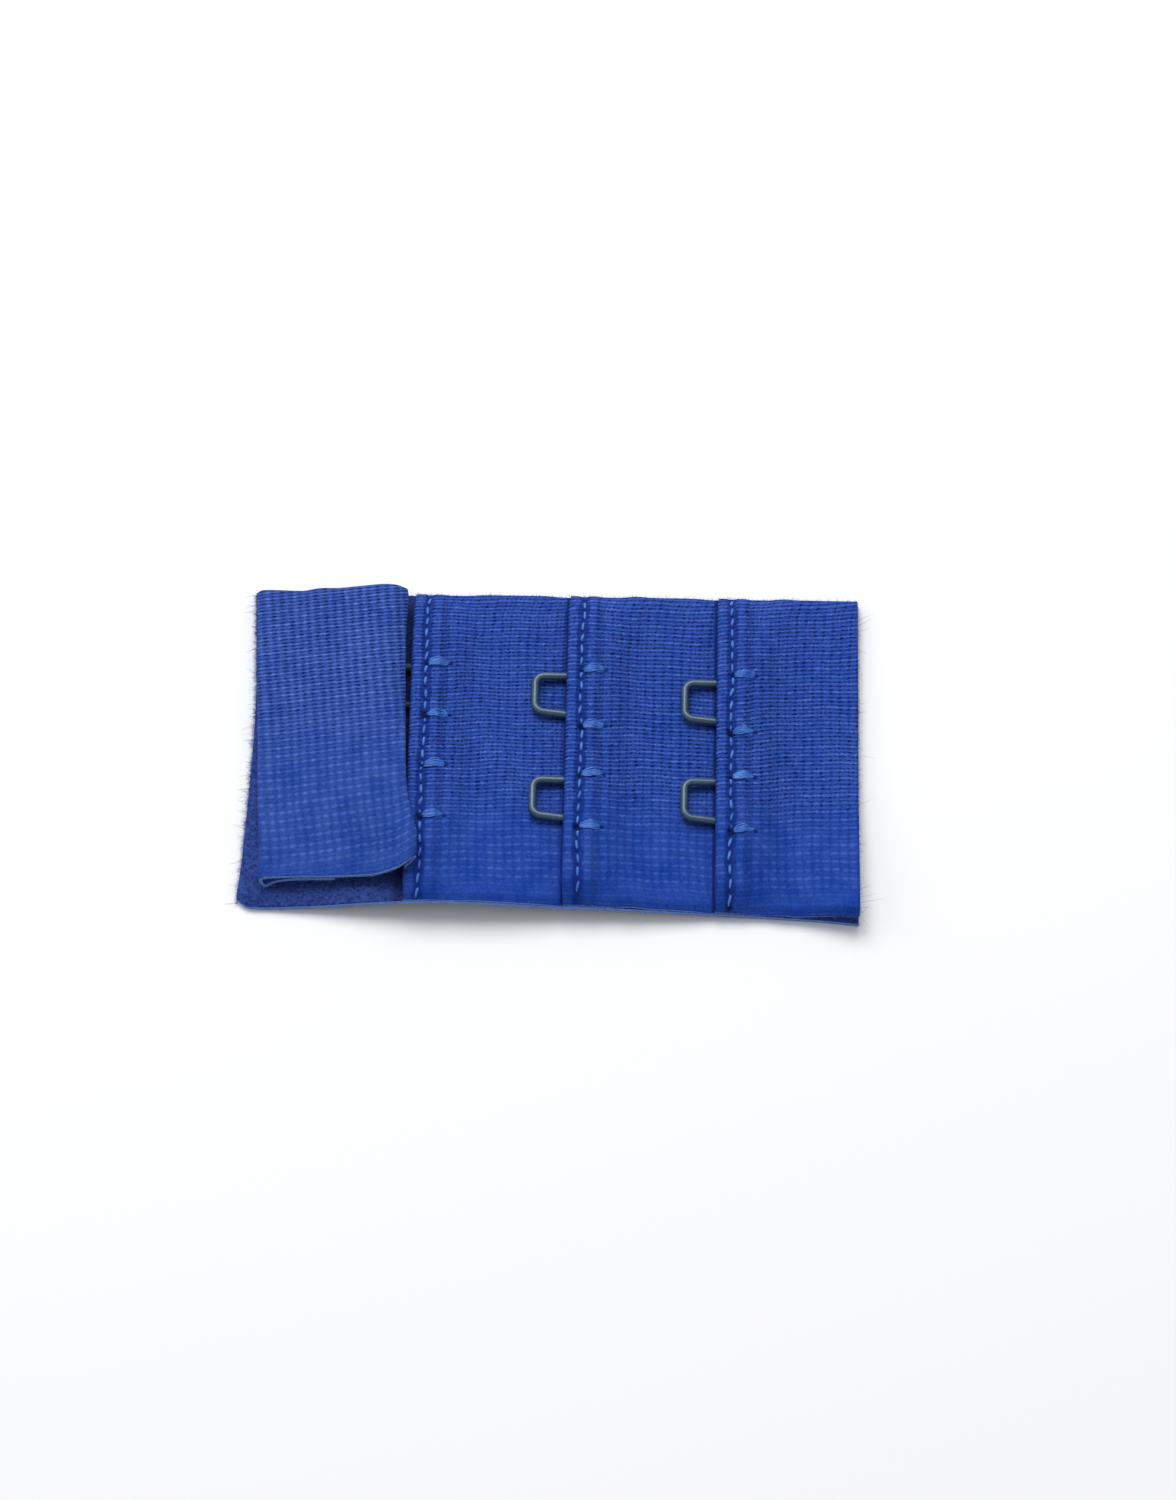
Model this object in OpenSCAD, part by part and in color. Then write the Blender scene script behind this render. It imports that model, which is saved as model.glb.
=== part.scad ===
// Hook and eye clasp of a garment back: an eye tape with three columns of two wire eyes,
// and a hook tape whose two hooks are fastened in the leftmost column.
// The clasp lies on its back: +X runs from the tongue to the tail, +Y away from the viewer,
// +Z up. The origin is the middle of the clasp's outline, on the surface it lies on.

/* [Eye tape] */
// Width of the eye tape, across both rows of eyes
tape_w = 38; // [36:0.5:60]
// Length of the bare tongue, from the left cut end to the first stitch line
tongue_l = 19.1; // [18:0.1:30]
// Distance from one column of eyes to the next
column_pitch = 16.4; // [14:0.1:24]
// Length of the tail, from the last stitch line to the right cut end
tail_l = 13.6; // [10:0.1:24]
// Thickness of the brushed backing
backing_t = 0.9; // [0.6:0.05:1.4]
// How much wider than the tape the tail's front corner spreads
corner_spread = 0.7; // [0:0.1:2]
// Size of the cut across the tongue's front corner
corner_cut = 1.7; // [0.5:0.1:4]

/* [Facings] */
// Thickness of the knitted facings
facing_t = 0.5; // [0.4:0.05:0.8]
// Width of a placket, from its fold to its stitch line
placket_w = 1.65; // [1.3:0.05:2.5]
// Slack left inside a placket's fold
placket_slack = 0.2; // [0.15:0.05:0.5]
// How far a placket's turned-in cloth runs past the stitch line
turn_in = 1.2; // [0.8:0.1:2]
// How far a facing is tucked under the next placket, past that stitch line
tuck_l = 3.8; // [3.2:0.1:5]
// How wide the tail's pocket gapes at its front corner
pocket_gape = 2.3; // [0:0.1:4]
// Length over which the tail's pocket gapes
pocket_l = 7; // [4:0.5:9]

/* [Wire] */
// Thickness of the coated wire of the hooks and eyes
wire_d = 0.85; // [0.6:0.05:0.95]
// Distance between the two rows of eyes
eye_pitch = 12.6; // [10:0.1:20]
// Width of an eye at its bar, between the middles of its legs
eye_w = 4.4; // [3.6:0.05:6]
// How far an eye's bar stands out of its placket
eye_reach = 3.35; // [3:0.05:5]
// Radius of an eye's corners
eye_corner_r = 1.05; // [0.6:0.05:1.3]
// Angle at which a free eye rises out of its placket
eye_rise = 3.5; // [2:0.5:12]
// Radius of the sewing loops of hooks and eyes
loop_r = 0.7; // [0.5:0.05:0.9]
// How far an eye's sewing loops start past the stitch line
loop_x = 1.2; // [0.8:0.1:1.6]
// Distance between the two strands of a hook
hook_w = 1.1; // [1:0.05:1.6]
// Length of a hook's bill, under the bar that it holds
bill_l = 2.6; // [2:0.1:4]
// Length of a hook's shank, from its nose to its sewing loops
shank_l = 5; // [4:0.1:7]
// Angle at which a hook's shank slopes down to its sewing loops
shank_slope = 13; // [8:0.5:13]

/* [Hook tape] */
// Length of the hook tape along the clasp, measured at its back
flap_l = 16.6; // [13:0.1:18]
// Width of the hook tape
flap_w = 34.7; // [30:0.1:60]
// Distance of the hook tape's back edge from the eye tape's
flap_inset = 0.8; // [0:0.1:3]
// Thickness of the hook tape's cloth
flap_t = 0.6; // [0.4:0.05:0.8]
// Height of the hook tape's left fold
flap_puff = 2; // [1.6:0.1:3]
// Radius of the hook tape's front right corner
flap_corner_r = 3; // [1:0.1:5]
// How far the hook tape's lower layer comes out at its left front corner
flap_lip = 1; // [0:0.1:1.6]
// How far the hook tape's right edge stops short of the first fold
flap_setback = 0.5; // [0:0.05:1]
// Width of the cloth turned in at the hook tape's right edge
hem_w = 1.3; // [1:0.05:1.5]

/* [Lie of the cloth] */
// Height of the arch in the eye tape's front edge
arch_h = 2.2; // [0:0.1:4]
// Share of the tape's width, from its front edge, that the arch takes
arch_depth = 0.66; // [0.4:0.02:0.8]
// Thickness of a heat-cut edge, as a share of the cloth's own
cut_share = 0.7; // [0.4:0.05:1]
// Width of the band that thins towards a heat-cut edge
cut_band = 0.9; // [0.5:0.1:2]
// Height over the backing that a placket's welded cut edge keeps, as a share of its own
weld_share = 0.42; // [0.3:0.02:1]
// Width of the band in which a placket thins towards its welded edge
weld_band = 2.6; // [1.5:0.1:4]

/* [Hidden] */

// Space left between two pieces that lie on each other
gap = 0.1;
wire_r = wire_d / 2;
tape_l = tongue_l + 2 * column_pitch + tail_l;
x_left = -tape_l / 2;
x_right = tape_l / 2;
y_back = (tape_w + corner_spread) / 2;
y_front = y_back - tape_w;

// One row for each column of eyes, from the tongue: how far its stitch line has drifted,
// in shares of column_pitch, then the middle between its two eyes and the distance
// between them, in shares of eye_pitch
COLUMNS = [
  [0, 0.105, 1.01],
  [0.02, 0.013, 1.025],
  [0, 0.002, 0.955]
];
DRIFT = 0;
MIDDLE = 1;
SPREAD = 2;

function stitch_x(k) = x_left + tongue_l + (k + COLUMNS[k][DRIFT]) * column_pitch;
function fold_x(k) = stitch_x(k) - placket_w;
// side is 1 for the back eye of a column and -1 for the front one
function row_y(k, side) = eye_pitch * (COLUMNS[k][MIDDLE] + side * COLUMNS[k][SPREAD] / 2);

// Angles by which an eye's legs spread, the back leg's and the front leg's
BACK_SPLAY = 1.5;
FRONT_SPLAY = 4.5;
function splay(leg) = leg > 0 ? BACK_SPLAY : FRONT_SPLAY;
// Distance of a leg from the middle of its eye, x_from_bar to the right of the bar
function leg_offset(leg, x_from_bar) = leg * (eye_w / 2 + x_from_bar * tan(splay(leg)));

// General curves

function unit(t) = min(max(t, 0), 1);
function ease(t) = let (u = unit(t)) u * u * (3 - 2 * u);
function blend(a, b, t) = a + (b - a) * t;
// 1 where d is 0, falling smoothly to 0 where d is reach
function bell(d, reach) = 1 - ease(abs(d) / reach);

// Smooth curve through the rows of a table: its first column is the place, and column
// gives the values
function row_before(table, x, i = 0) =
  i >= len(table) - 2 || x < table[i + 1][0] ? i : row_before(table, x, i + 1);
function slope_at(table, column, i) =
  let (a = max(i - 1, 0), b = min(i + 1, len(table) - 1))
  (table[b][column] - table[a][column]) / (table[b][0] - table[a][0]);
function along(table, column, x) =
  let (
    c = min(max(x, table[0][0]), table[len(table) - 1][0]),
    i = row_before(table, c),
    step = table[i + 1][0] - table[i][0],
    t = (c - table[i][0]) / step,
    line = blend(table[i][column], table[i + 1][column], t),
    rise = table[i + 1][column] - table[i][column],
    s0 = slope_at(table, column, i) * step - rise,
    s1 = slope_at(table, column, i + 1) * step - rise
  )
  line + t * (1 - t) * (s0 * (1 - t) - s1 * t);

// Outline of the eye tape

// Place along the tape in shares of tape_l, then the left-out depth of the front edge,
// in shares of corner_spread
FRONT_EDGE = [
  [0, 0],
  [0.8, 0],
  [0.93, 0.45],
  [1, 1]
];
EDGE_OUT = 1;
// Place across the tape in shares of tape_w, from the front, then how far the left end
// stands in, in shares of tongue_l
LEFT_END = [
  [0, 0],
  [0.17, 0.02],
  [0.5, 0.042],
  [0.66, 0.045],
  [1, 0.012]
];
END_IN = 1;
// How round the two cut corners are: 1 gives a quarter circle, less a flatter curve
CUT_ROUND = 0.9;
FLAP_ROUND = 0.97;
function rounding(share, fullness) = 1 - sqrt(1 - fullness * share * share);
function corner_share(x) = unit((x_left + corner_cut - x) / corner_cut);
function front_y(x) =
  y_front - corner_spread * along(FRONT_EDGE, EDGE_OUT, (x - x_left) / tape_l)
  + corner_cut * rounding(corner_share(x), CUT_ROUND);
function end_x(y) = x_left + tongue_l * along(LEFT_END, END_IN, (y - y_front) / tape_w);

// Lie of the eye tape

// Place along the tape in shares of tape_l, then the height of the front edge, in shares
// of arch_h
ARCH = [
  [0.05, 0],
  [0.13, 0.27],
  [0.21, 0.68],
  [0.29, 0.97],
  [0.36, 1],
  [0.5, 0.66],
  [0.62, 0.5],
  [0.8, 0.08],
  [0.9, 0]
];
ARCH_UP = 1;
// Power with which the arch falls from the front edge to the flat part
ARCH_FALL = 1.5;
function lift(x, y) =
  arch_h * along(ARCH, ARCH_UP, (x - x_left) / tape_l)
  * pow(unit(1 - (y - y_front) / (tape_w * arch_depth)), ARCH_FALL);
// How much of its thickness cloth keeps, near the cut edges at edge_a and edge_b
function pinch(y, edge_a, edge_b) =
  blend(cut_share, 1, ease(min(y - edge_a, edge_b - y) / cut_band));
function tape_pinch(x, y) = pinch(y, front_y(x), y_back);

// Sheet of cloth: rows holds one list of middle points for each station from front to
// back, and sizes the cloth's thickness at each of those points
function turned(a, b) = [a[2] - b[2], 0, b[0] - a[0]] / norm([a[2] - b[2], 0, b[0] - a[0]]);
function face_way(row, i) = turned(row[max(i - 1, 0)], row[min(i + 1, len(row) - 1)]);
function cloth_ring(row, sizes) = concat(
  [for (i = [0:len(row) - 1]) row[i] + face_way(row, i) * sizes[i] / 2],
  [for (i = [len(row) - 1:-1:0]) row[i] - face_way(row, i) * sizes[i] / 2]
);
module sheet(rows, sizes) {
  n = len(rows[0]);
  last = len(rows) - 1;
  ring = 2 * n;
  sides = [
    for (j = [0:last - 1]) for (i = [0:ring - 1])
      let (a = j * ring + i, b = j * ring + (i + 1) % ring)
      each [[a, b, b + ring], [a, b + ring, a + ring]]
  ];
  front = [
    for (i = [0:n - 2]) each [[i, ring - 1 - i, ring - 2 - i], [i, ring - 2 - i, i + 1]]
  ];
  back = [
    for (f = front) [f[2] + last * ring, f[1] + last * ring, f[0] + last * ring]
  ];
  points = [for (j = [0:last]) each cloth_ring(rows[j], sizes[j])];
  polyhedron(points, concat(sides, front, back), convexity = 6);
}

// Backing

BACKING_ROWS = [0, 0.025, 0.08, 0.16, 0.26, 0.38, 0.5, 0.62, 0.8, 0.975, 1];
BACKING_POINTS = [
  0, 0.012, 0.026, 0.05, 0.09, 0.13, 0.17, 0.21, 0.25, 0.29, 0.33, 0.37, 0.42, 0.48, 0.55,
  0.62, 0.68, 0.74, 0.8, 0.87, 0.93, 1
];
function backing_x(u, y) = blend(end_x(y), x_right, u);
function backing_point(u, v) =
  let (
    y0 = blend(y_front, y_back, v),
    x = backing_x(u, y0),
    y = blend(front_y(x), y_back, v)
  )
  [x, y, lift(x, y) + backing_t / 2 * tape_pinch(x, y)];
module backing_tape() {
  rows = [for (v = BACKING_ROWS) [for (u = BACKING_POINTS) backing_point(u, v)]];
  sizes = [for (row = rows) [for (p = row) backing_t * tape_pinch(p[0], p[1])]];
  color("midnightblue") sheet(rows, sizes);
}

// Facings

// The hot knife welds the layers of a placket, from where its fold starts to the end of the
// facing tucked in under it. To each side the weld fades over weld_fade.
weld_fade = 2.4;
function stack_start(k) = fold_x(k) - 3 * gap;
function stack_share(k, x) =
  1 - ease(max(stack_start(k) - x, x - stitch_x(k) - tuck_l) / weld_fade);
function weld(x, y) =
  let (
    stack = max([for (k = [0:2]) stack_share(k, x)]),
    edge = min(y - front_y(x), y_back - y)
  )
  blend(blend(1, weld_share, stack), 1, ease(edge / weld_band));

// Height of what a placket lies on
function bed_h(k) = backing_t + gap + (k > 0 ? facing_t + gap : 0);
// Height that the wire needs under a placket
wire_room = wire_d + 2.5 * gap;
loop_end = loop_x + loop_r + wire_r;
// Half the width of an eye at its sewing loops
loops_half = -leg_offset(-1, eye_reach + placket_w + loop_x) + 2 * loop_r + wire_r;
// Places across the tape where the sewing loops of a column begin and end
function first_loop(k) = row_y(k, -1) - loops_half;
function last_loop(k) = row_y(k, 1) + loops_half;
// The cloth spans flat over both eyes of its column, and falls over wire_drape to their
// right and over span_fall towards the cut edges
wire_drape = 3.2;
span_fall = 8;
function wire_share(k, x, y) =
  (1 - ease((x - stitch_x(k) - loop_end) / wire_drape))
  * bell(max(first_loop(k) - y, y - last_loop(k), 0), span_fall);

// Height of a facing's middle, above the tape's underside
flat_h = backing_t + gap + facing_t / 2;
function under_h(k, x, y) = bed_h(k) + wire_room * wire_share(k, x, y) + facing_t / 2;
// The stitches close a placket's slack, over this share of its width
STITCH_PULL = 0.6;
function placket_slack_at(k, x) =
  gap + (placket_slack - gap) * unit(abs(x - stitch_x(k)) / (STITCH_PULL * placket_w));
// The top layer rides on the turned-in layer, then on the sewing loops, then on the
// facing before it, and comes down to the backing where that facing ends
turn_in_fall = 0.9;
tuck_fall = 4;
function top_h(k, x, y) =
  let (
    past = x - stitch_x(k),
    turned = (facing_t + placket_slack_at(k, x)) * (1 - ease((past - turn_in - gap) / turn_in_fall)),
    bed = blend(under_h(k, x, y), flat_h, ease((past - tuck_l - gap) / tuck_fall))
  )
  bed + turned;
// Share of the tape's width over which the pocket gapes, and the powers with which the
// gap closes along the tape and across it
GAPE_DEPTH = 0.5;
GAPE_ALONG = 1.0;
GAPE_ACROSS = 1.3;
function gape(x, y) =
  pocket_gape * pow(unit(1 - (x_right - x) / pocket_l), GAPE_ALONG)
  * pow(unit(1 - (y - y_front) / (tape_w * GAPE_DEPTH)), GAPE_ACROSS);

// Distances from the stitch line at which a placket's top layer has points
PLACKET_POINTS = [-0.9, -0.35, 0, 0.4];
// Shares of its fall past the tucked end, and then of the flat cloth, where it has more
TUCK_POINTS = [0, 0.3, 0.7, 1];
SPAN_POINTS = [0.25, 0.5, 0.75, 1];
function facing_tops(k) =
  let (
    past_turn_in = turn_in + gap,
    tuck_end = tuck_l + gap,
    past_tuck = [for (t = TUCK_POINTS) tuck_end + t * tuck_fall],
    start = stitch_x(k) + tuck_end + tuck_fall,
    stop = k < 2 ? stack_start(k + 1) : x_right
  )
  concat(
    [for (d = concat(PLACKET_POINTS, past_turn_in, loop_end, past_tuck)) stitch_x(k) + d],
    [for (t = SPAN_POINTS) blend(start, stop, t)],
    k < 2 ? [for (d = [0, turn_in, tuck_l]) stitch_x(k + 1) + d] : []
  );
// Angles round a fold, from its underside to its top
FOLD_ANGLES = [0, 45, 90, 135, 180];
function facing_path(k, y) =
  let (
    nose = fold_x(k) + facing_t / 2,
    low = under_h(k, nose, y),
    high = low + facing_t + placket_slack,
    r = (high - low) / 2,
    x_nose = nose + r
  )
  concat(
    [for (d = [turn_in, 0.2]) let (x = stitch_x(k) + d) [x, under_h(k, x, y)]],
    [for (a = FOLD_ANGLES) [x_nose - r * sin(a), low + r * (1 - cos(a))]],
    [for (x = facing_tops(k)) [x, k == 2 ? top_h(k, x, y) + gape(x, y) : top_h(k, x, y)]]
  );
// Places from front to back where a facing has stations: at the bands of its cut edges, at
// the first and the last sewing loop of its column, at the eyes and between these
function facing_rows(k) =
  let (
    front_weld = y_front + weld_band,
    back_weld = y_back - weld_band
  )
  [
    y_front, y_front + cut_band, front_weld, (front_weld + first_loop(k)) / 2,
    first_loop(k), row_y(k, -1), (row_y(k, -1) + row_y(k, 1)) / 2, row_y(k, 1), last_loop(k),
    (last_loop(k) + back_weld) / 2, back_weld, y_back - cut_band, y_back
  ];
function facing_point(p, y) =
  let (
    v = (y - y_front) / tape_w,
    yy = blend(front_y(p[0]), y_back, v),
    over_backing = (p[1] - backing_t) * weld(p[0], yy)
  )
  [p[0], yy, lift(p[0], yy) + (backing_t + over_backing) * tape_pinch(p[0], yy)];
function facing_size(p) = facing_t * tape_pinch(p[0], p[1]) * weld(p[0], p[1]);
module facing(k) {
  rows = [for (y = facing_rows(k)) [for (p = facing_path(k, y)) facing_point(p, y)]];
  sizes = [for (row = rows) [for (p = row) facing_size(p)]];
  color("royalblue") sheet(rows, sizes);
}

// Wire

WIRE_SIDES = 8;
ARC_STEPS = 4;
function steps(from, to, n) = [for (i = [0:n]) blend(from, to, i / n)];
function reversed(list) = [for (i = [len(list) - 1:-1:0]) list[i]];
function unit_vector(v) = v / norm(v);
function way(path, i) =
  unit_vector(path[min(i + 1, len(path) - 1)] - path[max(i - 1, 0)]);
// One direction across the wire at each point, carried along the path without twist
function across(path, side, i = 0) =
  i == len(path)
  ? []
  : let (t = way(path, i), here = unit_vector(side - t * (side * t)))
    concat([here], across(path, here, i + 1));
// Round wire along a path of points: its cross-sections start from a direction that no
// wire's end runs along
START_ACROSS = [0.1, 0.2, 1];
module wire(path) {
  last = len(path) - 1;
  normals = across(path, START_ACROSS);
  points = [
    for (i = [0:last]) for (a = [0:WIRE_SIDES - 1])
      let (n = normals[i], turn = 360 * a / WIRE_SIDES)
      path[i] + wire_r * (n * cos(turn) + cross(way(path, i), n) * sin(turn))
  ];
  sides = [
    for (i = [0:last - 1]) for (a = [0:WIRE_SIDES - 1])
      let (p = i * WIRE_SIDES + a, q = i * WIRE_SIDES + (a + 1) % WIRE_SIDES)
      each [[p, p + WIRE_SIDES, q + WIRE_SIDES], [p, q + WIRE_SIDES, q]]
  ];
  start = [for (a = [0:WIRE_SIDES - 1]) a];
  end = [for (a = [WIRE_SIDES - 1:-1:0]) last * WIRE_SIDES + a];
  polyhedron(points, concat(sides, [start], [end]), convexity = 6);
}
function mirrored(path) = [for (p = path) [p[0], -p[1], p[2]]];

// Puts a wire piece whose origin is the middle of an eye's bar on the tape: square to the
// lifted surface where that eye's legs leave their placket, whose slope is measured over
// TILT_STEP to each side
TILT_STEP = 1.5;
module on_tape(k, side, h) {
  x = fold_x(k);
  y = row_y(k, side);
  rise_x = (lift(x + TILT_STEP, y) - lift(x - TILT_STEP, y)) / (2 * TILT_STEP);
  rise_y = (lift(x, y + TILT_STEP) - lift(x, y - TILT_STEP)) / (2 * TILT_STEP);
  translate([x, y, lift(x, y)])
    rotate([atan(rise_y), -atan(rise_x), 0]) translate([-eye_reach, 0, h]) children();
}

// Half of an eye: from its bar, which lies on Y, round the corner and down the leg to the
// fold of the placket, then level under the placket to the end of its sewing loop
function eye_half(rise, spread) =
  let (
    corner = [
      for (a = steps(180, 90 + spread, ARC_STEPS))
        [eye_corner_r * (1 + cos(a)), eye_w / 2 - eye_corner_r * (1 - sin(a))]
    ],
    leg_x = corner[ARC_STEPS][0] * cos(rise),
    leg_y = corner[ARC_STEPS][1],
    low = -eye_reach * tan(rise),
    loop_x0 = eye_reach + placket_w + loop_x,
    loop_y0 = leg_y + (loop_x0 - leg_x) * tan(spread) + loop_r
  )
  concat(
    [for (p = corner) [p[0] * cos(rise), p[1], -p[0] * sin(rise)]],
    [[eye_reach, leg_y + (eye_reach - leg_x) * tan(spread), low]],
    [
      for (a = steps(-90, 90, 2 * ARC_STEPS))
        [loop_x0 + loop_r * cos(a), loop_y0 + loop_r * sin(a), low]
    ]
  );
// Height of an eye's bar over its legs under the placket
function bar_rise(rise) = eye_reach * tan(rise);
module eye(k, side) {
  rise = k == 0 ? hooked_rise : eye_rise;
  color("darkslategray")
    on_tape(k, side, bed_h(k) + gap + wire_r + bar_rise(rise))
      wire(concat(
        reversed(eye_half(rise, BACK_SPLAY)),
        mirrored(eye_half(rise, FRONT_SPLAY))
      ));
}

// The nose of a hook turns round the bar of an eye
nose_r = wire_d + gap;
// An eye that holds a hook rises until the hook's bill clears the backing
hooked_rise = atan(nose_r / eye_reach);
bar_h = bed_h(0) + gap + wire_r + bar_rise(hooked_rise);
bar_x = fold_x(0) - eye_reach;

// Half of a hook, whose nose turns round Y: from the middle of the bill's tip along the
// bill, round the nose and down the shank to the end of its sewing loop, which turns
// through the angle HOOK_LOOP
HOOK_LOOP = 200;
function hook_half() =
  let (
    r = hook_w / 2,
    nose_end = 90 + shank_slope,
    shank_x = nose_r * cos(nose_end) - shank_l * cos(shank_slope),
    shank_z = nose_r * sin(nose_end) - shank_l * sin(shank_slope)
  )
  concat(
    [for (a = steps(180, 90, ARC_STEPS)) [r * cos(a) - bill_l, r * sin(a), -nose_r]],
    [for (a = steps(-90, nose_end, 2 * ARC_STEPS)) [nose_r * cos(a), r, nose_r * sin(a)]],
    [
      for (a = steps(-90, -90 - HOOK_LOOP, 2 * ARC_STEPS))
        [shank_x + loop_r * cos(a), r + loop_r * (1 + sin(a)), shank_z]
    ]
  );
module hook(side) {
  half = hook_half();
  color("darkslategray") on_tape(0, side, bar_h)
    wire(concat(reversed(half), [for (i = [1:len(half) - 1]) mirrored(half)[i]]));
}

// Hook tape

flap_y_back = y_back - flap_inset;
flap_y_front = flap_y_back - flap_w;
// Share of flap_w from the front, then how far the left fold and the right edge stand
// in (to the right), in shares of flap_l
FLAP_SIDES = [
  [0, 0.108, 0.125],
  [0.1, 0.1, 0.115],
  [0.28, 0.075, 0.045],
  [0.5, 0.055, 0.018],
  [0.8, 0.02, -0.005],
  [1, 0, 0]
];
LEFT_SHIFT = 1;
RIGHT_SHIFT = 2;
flap_right_x = fold_x(0) - flap_setback;
flap_left_x = flap_right_x - flap_l;
function flap_x0(v) = flap_left_x + flap_l * along(FLAP_SIDES, LEFT_SHIFT, v);
function flap_x1(v) = flap_right_x + flap_l * along(FLAP_SIDES, RIGHT_SHIFT, v);
function flap_y(x, v) =
  let (
    over = unit((x - (flap_x1(0) - flap_corner_r)) / flap_corner_r),
    front = flap_y_front + flap_corner_r * rounding(over, FLAP_ROUND)
  )
  blend(front, flap_y_back, v);

// Top of a hook over the backing: level over its sewing loops, rising to its nose
hook_loop_x = bar_x - shank_l * cos(shank_slope);
function shank_top(x) =
  bar_h + (nose_r + wire_r) / cos(shank_slope) - backing_t
  - (bar_x - min(max(x, hook_loop_x), bar_x)) * tan(shank_slope);
// Underside of the flap's top layer over a hook, and past its sewing loops, where it sinks
// by half the puff over ridge_fall
ridge_fall = 3;
function ridge_h(x) =
  shank_top(x) + 2 * gap
  - flap_puff / 2 * ease((hook_loop_x - loop_r - wire_d - x) / ridge_fall);
// Height of the turned-in cloth at the flap's right edge over the backing: it clears the
// legs of the eyes, and the first placket where the edge lies over that
leg_clear = wire_d + bar_rise(hooked_rise) * (hem_w + flap_setback) / eye_reach + 3 * gap;
// Distance from the fold over which the edge climbs on the placket
hem_climb = 0.4;
function hem_low(v) =
  let (
    x = fold_x(0) + placket_w / 2,
    y = flap_y(flap_x1(v), v),
    placket = top_h(0, x, y) + facing_t / 2 - backing_t + gap
  )
  blend(leg_clear, placket, ease((flap_x1(v) - fold_x(0)) / hem_climb + 1));
function hem_top(v) = hem_low(v) + 2 * flap_t + 2 * gap;
// Share of the flap's length, then the height of its top over the backing at the front,
// in shares of flap_puff, and the height of its lower layer there
FLAP_FRONT = [
  [0, 1, 0.05],
  [0.12, 1.03, 0.25],
  [0.25, 1.04, 0.42],
  [0.5, 0.9, 0.28],
  [0.75, 0.88, 0.26],
  [1, 1.3, 0.6]
];
FRONT_TOP = 1;
FRONT_UNDER = 2;
// Share of flap_w over which the front's lie changes to the back's
FRONT_FADE = 0.3;
// Sag of the top layer left of the hooks: its depth as a share of flap_puff, and its place
// and half its width as shares of the flap's length
SAG_DEPTH = 0.06;
SAG_PLACE = 0.4;
SAG_REACH = 0.3;
// Shares of the flap's length at which the front's top starts for the hem, and takes to it
HEM_START = 0.7;
HEM_REACH = 0.25;
function flap_top_h(x, v) =
  let (
    u = (x - flap_x0(v)) / (flap_x1(v) - flap_x0(v)),
    ridge = ridge_h(x) + flap_t,
    sag = flap_puff * (1 - SAG_DEPTH * bell(u - SAG_PLACE, SAG_REACH)),
    past_nose = (x - bar_x - nose_r) / (flap_x1(v) - bar_x - nose_r),
    back = blend(max(ridge, sag), hem_top(v), ease(past_nose)),
    puffed = flap_puff * along(FLAP_FRONT, FRONT_TOP, u),
    front = blend(puffed, hem_top(v), ease((u - HEM_START) / HEM_REACH))
  )
  blend(front, back, ease(v / FRONT_FADE));
function flap_under_h(x, v) =
  let (
    u = (x - flap_x0(v)) / (flap_x1(v) - flap_x0(v)),
    front = flap_puff * along(FLAP_FRONT, FRONT_UNDER, u)
  )
  blend(front, gap, ease(v / FRONT_FADE));
lip_x = bar_x - bill_l - hook_w / 2 - wire_r - 2 * gap;
LOW_POINTS = [0, 0.33, 0.66];
TOP_POINTS = [0.08, 0.18, 0.28, 0.38, 0.48, 0.58, 0.68, 0.78, 0.87, 0.95];
// Middle line of the flap's cloth, from the lip of its lower layer round its left fold,
// over its top and round its right edge: place along X, then height over the backing
function flap_path(v) =
  let (
    x0 = flap_x0(v),
    x1 = flap_x1(v),
    low0 = flap_under_h(x0, v) + flap_t / 2,
    r0 = (flap_top_h(x0, v) - flap_t / 2 - low0) / 2,
    xc0 = x0 + flap_t / 2 + r0,
    r1 = flap_t / 2 + gap,
    xc1 = x1 - flap_t / 2 - r1
  )
  concat(
    [for (t = LOW_POINTS) let (x = blend(lip_x, xc0, t)) [x, flap_under_h(x, v) + flap_t / 2]],
    [for (a = FOLD_ANGLES) [xc0 - r0 * sin(a), low0 + r0 * (1 - cos(a))]],
    [for (t = TOP_POINTS) let (x = blend(xc0, xc1, t)) [x, flap_top_h(x, v) - flap_t / 2]],
    [for (a = FOLD_ANGLES) [xc1 + r1 * sin(a), hem_low(v) + flap_t / 2 + r1 * (1 + cos(a))]],
    [[x1 - hem_w, hem_low(v) + flap_t / 2]]
  );
FLAP_ROWS = [0, 0.025, 0.06, 0.11, 0.17, 0.24, 0.32, 0.42, 0.54, 0.66, 0.78, 0.9, 0.975, 1];
// Shares of the flap's length and width, and of its puff in height, over which its lower
// layer comes out from under the top one at the left front corner
LIP_LENGTH = 0.34;
LIP_WIDTH = 0.06;
LIP_HEIGHT = 0.45;
function lip_reach(p, v) =
  flap_lip * ease(1 - (p[0] - flap_x0(v)) / (LIP_LENGTH * flap_l))
  * unit(1 - v / LIP_WIDTH) * ease(1 - p[1] / (LIP_HEIGHT * flap_puff));
function flap_point(p, v) =
  let (y = flap_y(p[0], v) - lip_reach(p, v))
  [p[0], y, lift(p[0], y) + backing_t + p[1]];
function flap_thickness(p) = flap_t * pinch(p[1], flap_y(p[0], 0), flap_y_back);
module hook_tape() {
  rows = [for (v = FLAP_ROWS) [for (p = flap_path(v)) flap_point(p, v)]];
  sizes = [for (row = rows) [for (p = row) flap_thickness(p)]];
  color("cornflowerblue") sheet(rows, sizes);
}

backing_tape();
facing(0);  // facing_1
facing(1);  // facing_2
facing(2);  // facing_3
hook_tape();
eye(0, 1);  // eye_1_back
eye(0, -1);  // eye_1_front
eye(1, 1);  // eye_2_back
eye(1, -1);  // eye_2_front
eye(2, 1);  // eye_3_back
eye(2, -1);  // eye_3_front
hook(1);  // hook_back
hook(-1);  // hook_front
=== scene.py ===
import math

import bpy
import numpy as np
from mathutils import Matrix, Vector


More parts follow.
